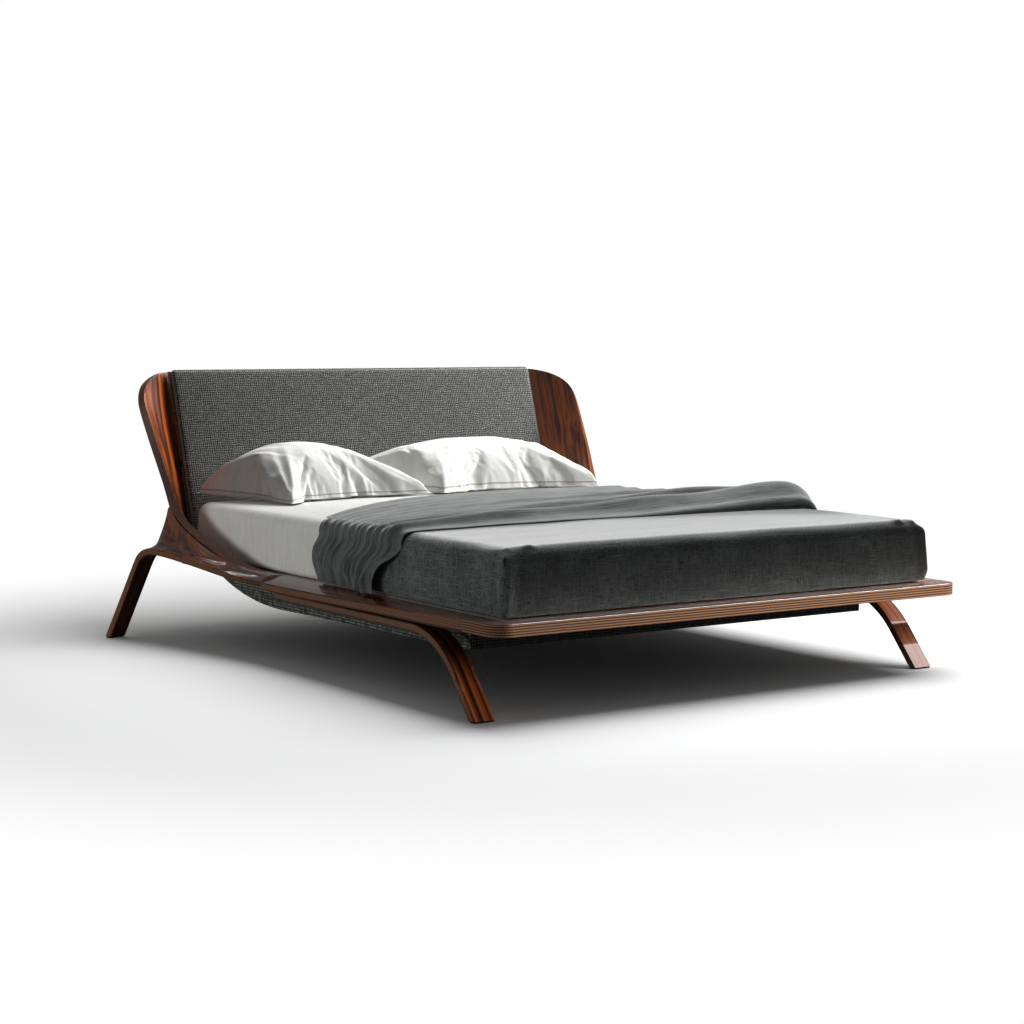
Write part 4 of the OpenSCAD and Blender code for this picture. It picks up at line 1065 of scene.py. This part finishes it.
def settle(bag, node, corners, height, fullness, seed):
    """Lays the bag on the mattress between four corners, with its underside pressed flat.
    The corners are front left, front right, rear right and rear left, in millimetres."""
    co = points_of(bag)
    co -= (co.max(0) + co.min(0)) / 2
    size = co.max(0) - co.min(0)
    hem = np.empty(len(co))
    bag.data.attributes["hem"].data.foreach_get("value", hem)
    u, v = co[:, 0] / (size[0] / 2), co[:, 1] / (size[1] / 2)
    rise = co[:, 2] / (size[2] / 2) * ease(6, 40, hem)
    quad = np.array([bed(x, y, 0) for x, y in corners])
    weights = np.column_stack([(1 - u) * (1 - v), (1 + u) * (1 - v), (1 + u) * (1 + v),
                               (1 - u) * (1 + v)]) / 4
    flat = weights @ quad
    top = np.clip(rise, 0, 1) ** fullness * height * (0.84 + 0.16 * ease(-0.6, 0.5, v))
    low = np.clip(-rise, 0, 1) * 0.016
    ground = sheet_top(flat[:, 0], flat[:, 1]) + 0.0018
    lift = 0.02 * ease(-0.9, 1, v) + 0.006
    flat[:, 1] += 0.035 * np.clip(top / height, 0, 1)
    fine = creases(u, v, seed) * (rise > 0) * np.clip(rise * 4, 0, 1)
    co = np.column_stack([flat[:, 0], flat[:, 1],
                          np.maximum(ground + lift + top - low, ground) + 0.011 * fine])
    set_points(bag, co)
    apply_modifier(bag, "SUBSURF", levels=1, render_levels=1)
    smooth_shade(bag, 70)
    dress(bag, LINEN, node, node, slot="white_linen")
    lo, hi = points_of(bag).min(0), points_of(bag).max(0)
    print(bag.name, "from", lo.round(3), "to", hi.round(3))


# %% Left pillow
left_pillow = sewn_bag("pillow_left_linen", 4)
settle(left_pillow, "pillow_left", [(-616, 590), (40, 702), (-262, 1046), (-766, 1062)],
       0.192, 0.9, 2)

# %% Right pillow
right_pillow = sewn_bag("pillow_right_linen", 11)
settle(right_pillow, "pillow_right", [(66, 690), (794, 706), (788, 1072), (-222, 1066)],
       0.186, 0.72, 6)

# %% [markdown]
# ## Headboard pad
#
# The pad is foam on a board under stretched tweed. It is built upright as a soft block and
# then leaned back with the shell. Its front is only slightly crowned and its edge has a
# small radius, because the tweed is pulled tight over it. A piping cord is sewn in along
# the seam between the front panel and the border.

# %% Pad
pad_slant = (pad_high.z - pad_low.z) / math.cos(RAKE)
PAD_T = 0.04
pad_pivot = Vector((0, pad_low.y, pad_low.z))


def lean(co):
    """Leans upright points back with the shell, about the pad's front lower edge."""
    turned = np.array(Matrix.Rotation(-RAKE, 3, "X"))
    return (co - np.array(pad_pivot)) @ turned.T + np.array(pad_pivot)


def upright(co):
    turned = np.array(Matrix.Rotation(RAKE, 3, "X"))
    return (co - np.array(pad_pivot)) @ turned.T + np.array(pad_pivot)


pad_cad = upright(points_of(frame["nodes"]["pad_cushion"]))
pad_lo, pad_hi = pad_cad.min(0), pad_cad.max(0)
print("pad upright", pad_lo.round(4), pad_hi.round(4))
pad = soft_block("headboard_pad_tweed", (pad_lo[0], pad_lo[2], -pad_hi[1]),
                 (pad_hi[0], pad_hi[2], -pad_lo[1]), 70, 0.012, 0.004, 0.0, 0.0)
co = points_of(pad)
u = co[:, 0] / pad_hi[0]
v = (co[:, 1] - (pad_lo[2] + pad_hi[2]) / 2) / ((pad_hi[2] - pad_lo[2]) / 2)
face = ease(-pad_hi[1], -pad_lo[1], co[:, 2])
crowned = (1 - np.clip(np.abs(u), 0, 1) ** 10) * (1 - np.clip(np.abs(v), 0, 1) ** 8)
co[:, 2] += face * (0.006 * crowned - 0.003)
co = np.column_stack([co[:, 0], -co[:, 2], co[:, 1]])
set_points(pad, lean(co))
edit(pad, lambda: bpy.ops.mesh.normals_make_consistent(inside=False))
smooth_shade(pad, 60)
dress(pad, TWEED, "headboard_pad", "pad_cushion", slot="tweed")
print(pad.name, len(pad.data.polygons), "faces")

# %% [markdown]
# The piping is a cord wrapped in cloth. A circle of eight points is swept round the
# front edge by a curve with a round bevel, which is then made a mesh.

# %% Piping
PIPE_R = 0.0032


def corner_arc(cx, cz, radius, start, steps=7):
    return [(cx + radius * math.cos(start + math.pi / 2 * k / steps),
             cz + radius * math.sin(start + math.pi / 2 * k / steps)) for k in range(steps + 1)]


pipe_x, pipe_y = pad_hi[0] - 0.0005, pad_lo[1] + 0.0105
round_r = 0.014
outline = (corner_arc(pipe_x - round_r, pad_hi[2] - round_r, round_r, 0)
           + corner_arc(-pipe_x + round_r, pad_hi[2] - round_r, round_r, math.pi / 2)
           + corner_arc(-pipe_x + round_r, pad_lo[2] + round_r, round_r, math.pi)
           + corner_arc(pipe_x - round_r, pad_lo[2] + round_r, round_r, 1.5 * math.pi))
curve = bpy.data.curves.new("pad_piping_cord", "CURVE")
curve.dimensions = "3D"
curve.bevel_depth = PIPE_R
curve.bevel_resolution = 3
spline = curve.splines.new("POLY")
spline.points.add(len(outline) - 1)
spline.use_cyclic_u = True
for point, (x, z) in zip(spline.points, outline):
    point.co = (x, pipe_y, z, 1)
piping = bpy.data.objects.new("pad_piping_cord", curve)
bpy.context.scene.collection.objects.link(piping)
only(piping)
bpy.ops.object.convert(target="MESH")
piping = bpy.context.object
set_points(piping, lean(points_of(piping)))
smooth_shade(piping, 60)
dress(piping, PIPING, "headboard_pad", "pad_piping", slot="piping")
print(piping.name, len(piping.data.polygons), "faces")

# %% [markdown]
# ## Lamps for the lacquer
#
# Cloth and lacquer want different light, so each lamp is flagged, as a photographer does with black card:
# it reaches only the pieces listed for it, or all but them. Three of them give only a reflection, the white
# line along a rounded edge.

# %% Flagged lamps
SHELL_COPIES = [obj for obj in bpy.data.objects if obj.name.startswith("ply_")]


def flagged_lamp(name, place, target, size, watts, pieces, state="INCLUDE", lights="all"):
    """A lamp that reaches only the listed pieces, or all but them if state is EXCLUDE."""
    made = soft_lamp(name, place, target, size, watts)
    listed = bpy.data.collections.new(name + " flags")
    for piece in pieces:
        listed.objects.link(piece)
    for entry in listed.collection_objects:
        entry.light_linking.link_state = state
    made.light_linking.receiver_collection = listed
    made.visible_diffuse = lights != "reflection"
    made.visible_glossy = lights != "colour"
    return made


PILLOWS = [left_pillow, right_pillow]
flagged_lamp("skylight", (2.2, 1.6, 3.2), (0.1, 0.0, 0.3), (2.6, 2.4), 255, [floor], "EXCLUDE")
flagged_lamp("left fill", (-4.6, 0.4, 0.7), (0.0, 0.2, 0.4), (2.4, 1.2), 50,
             [floor, bpy.data.objects["ply_wing_right"]] + PILLOWS, "EXCLUDE", "colour")
flagged_lamp("floor light", (0.9, -0.3, 3.0), (0.0, -0.3, 0.0), (3.6, 3.6), 115, [floor])
flagged_lamp("right side of the soft pieces", (3.8, -0.3, 1.9), (-0.85, 1.0, 0.6), (0.8, 1.6),
             205, [pad, piping] + PILLOWS)
flagged_lamp("right side", (3.8, -0.3, 1.9), (-0.85, 1.0, 0.6), (0.8, 1.6), 520, SHELL_COPIES,
             lights="colour")
flagged_lamp("front right", (3.2, -3.6, 1.5), (0.2, -1.1, 0.3), (1.2, 1.2), 330,
             [obj for obj in SHELL_COPIES if "wing" not in obj.name], lights="colour")
flagged_lamp("behind the cover", (0.9, 4.2, 1.7), (0.2, -0.6, 0.5), (2.4, 0.8), 330, [coverlet])
flagged_lamp("glint on the front edge", (2.2, -1.9, 2.9), (0, -1.18, 0.28), (1.8, 3.6), 1500,
             [bpy.data.objects["ply_platform_foot"]], lights="reflection")
flagged_lamp("glint on the left wing", (-4.5, -1.0, 1.2), (-1.0, 0.95, 0.6), (0.6, 2.4), 80,
             [bpy.data.objects["ply_wing_left"]], lights="reflection")
flagged_lamp("glint on the right leg", (2.2, -1.63, 2.9), (0, -1.18, 0.28), (0.5, 3.4), 24,
             [bpy.data.objects["ply_front_leg_right"]], lights="reflection")
print("flagged lamps reach", len(SHELL_COPIES), "shells")
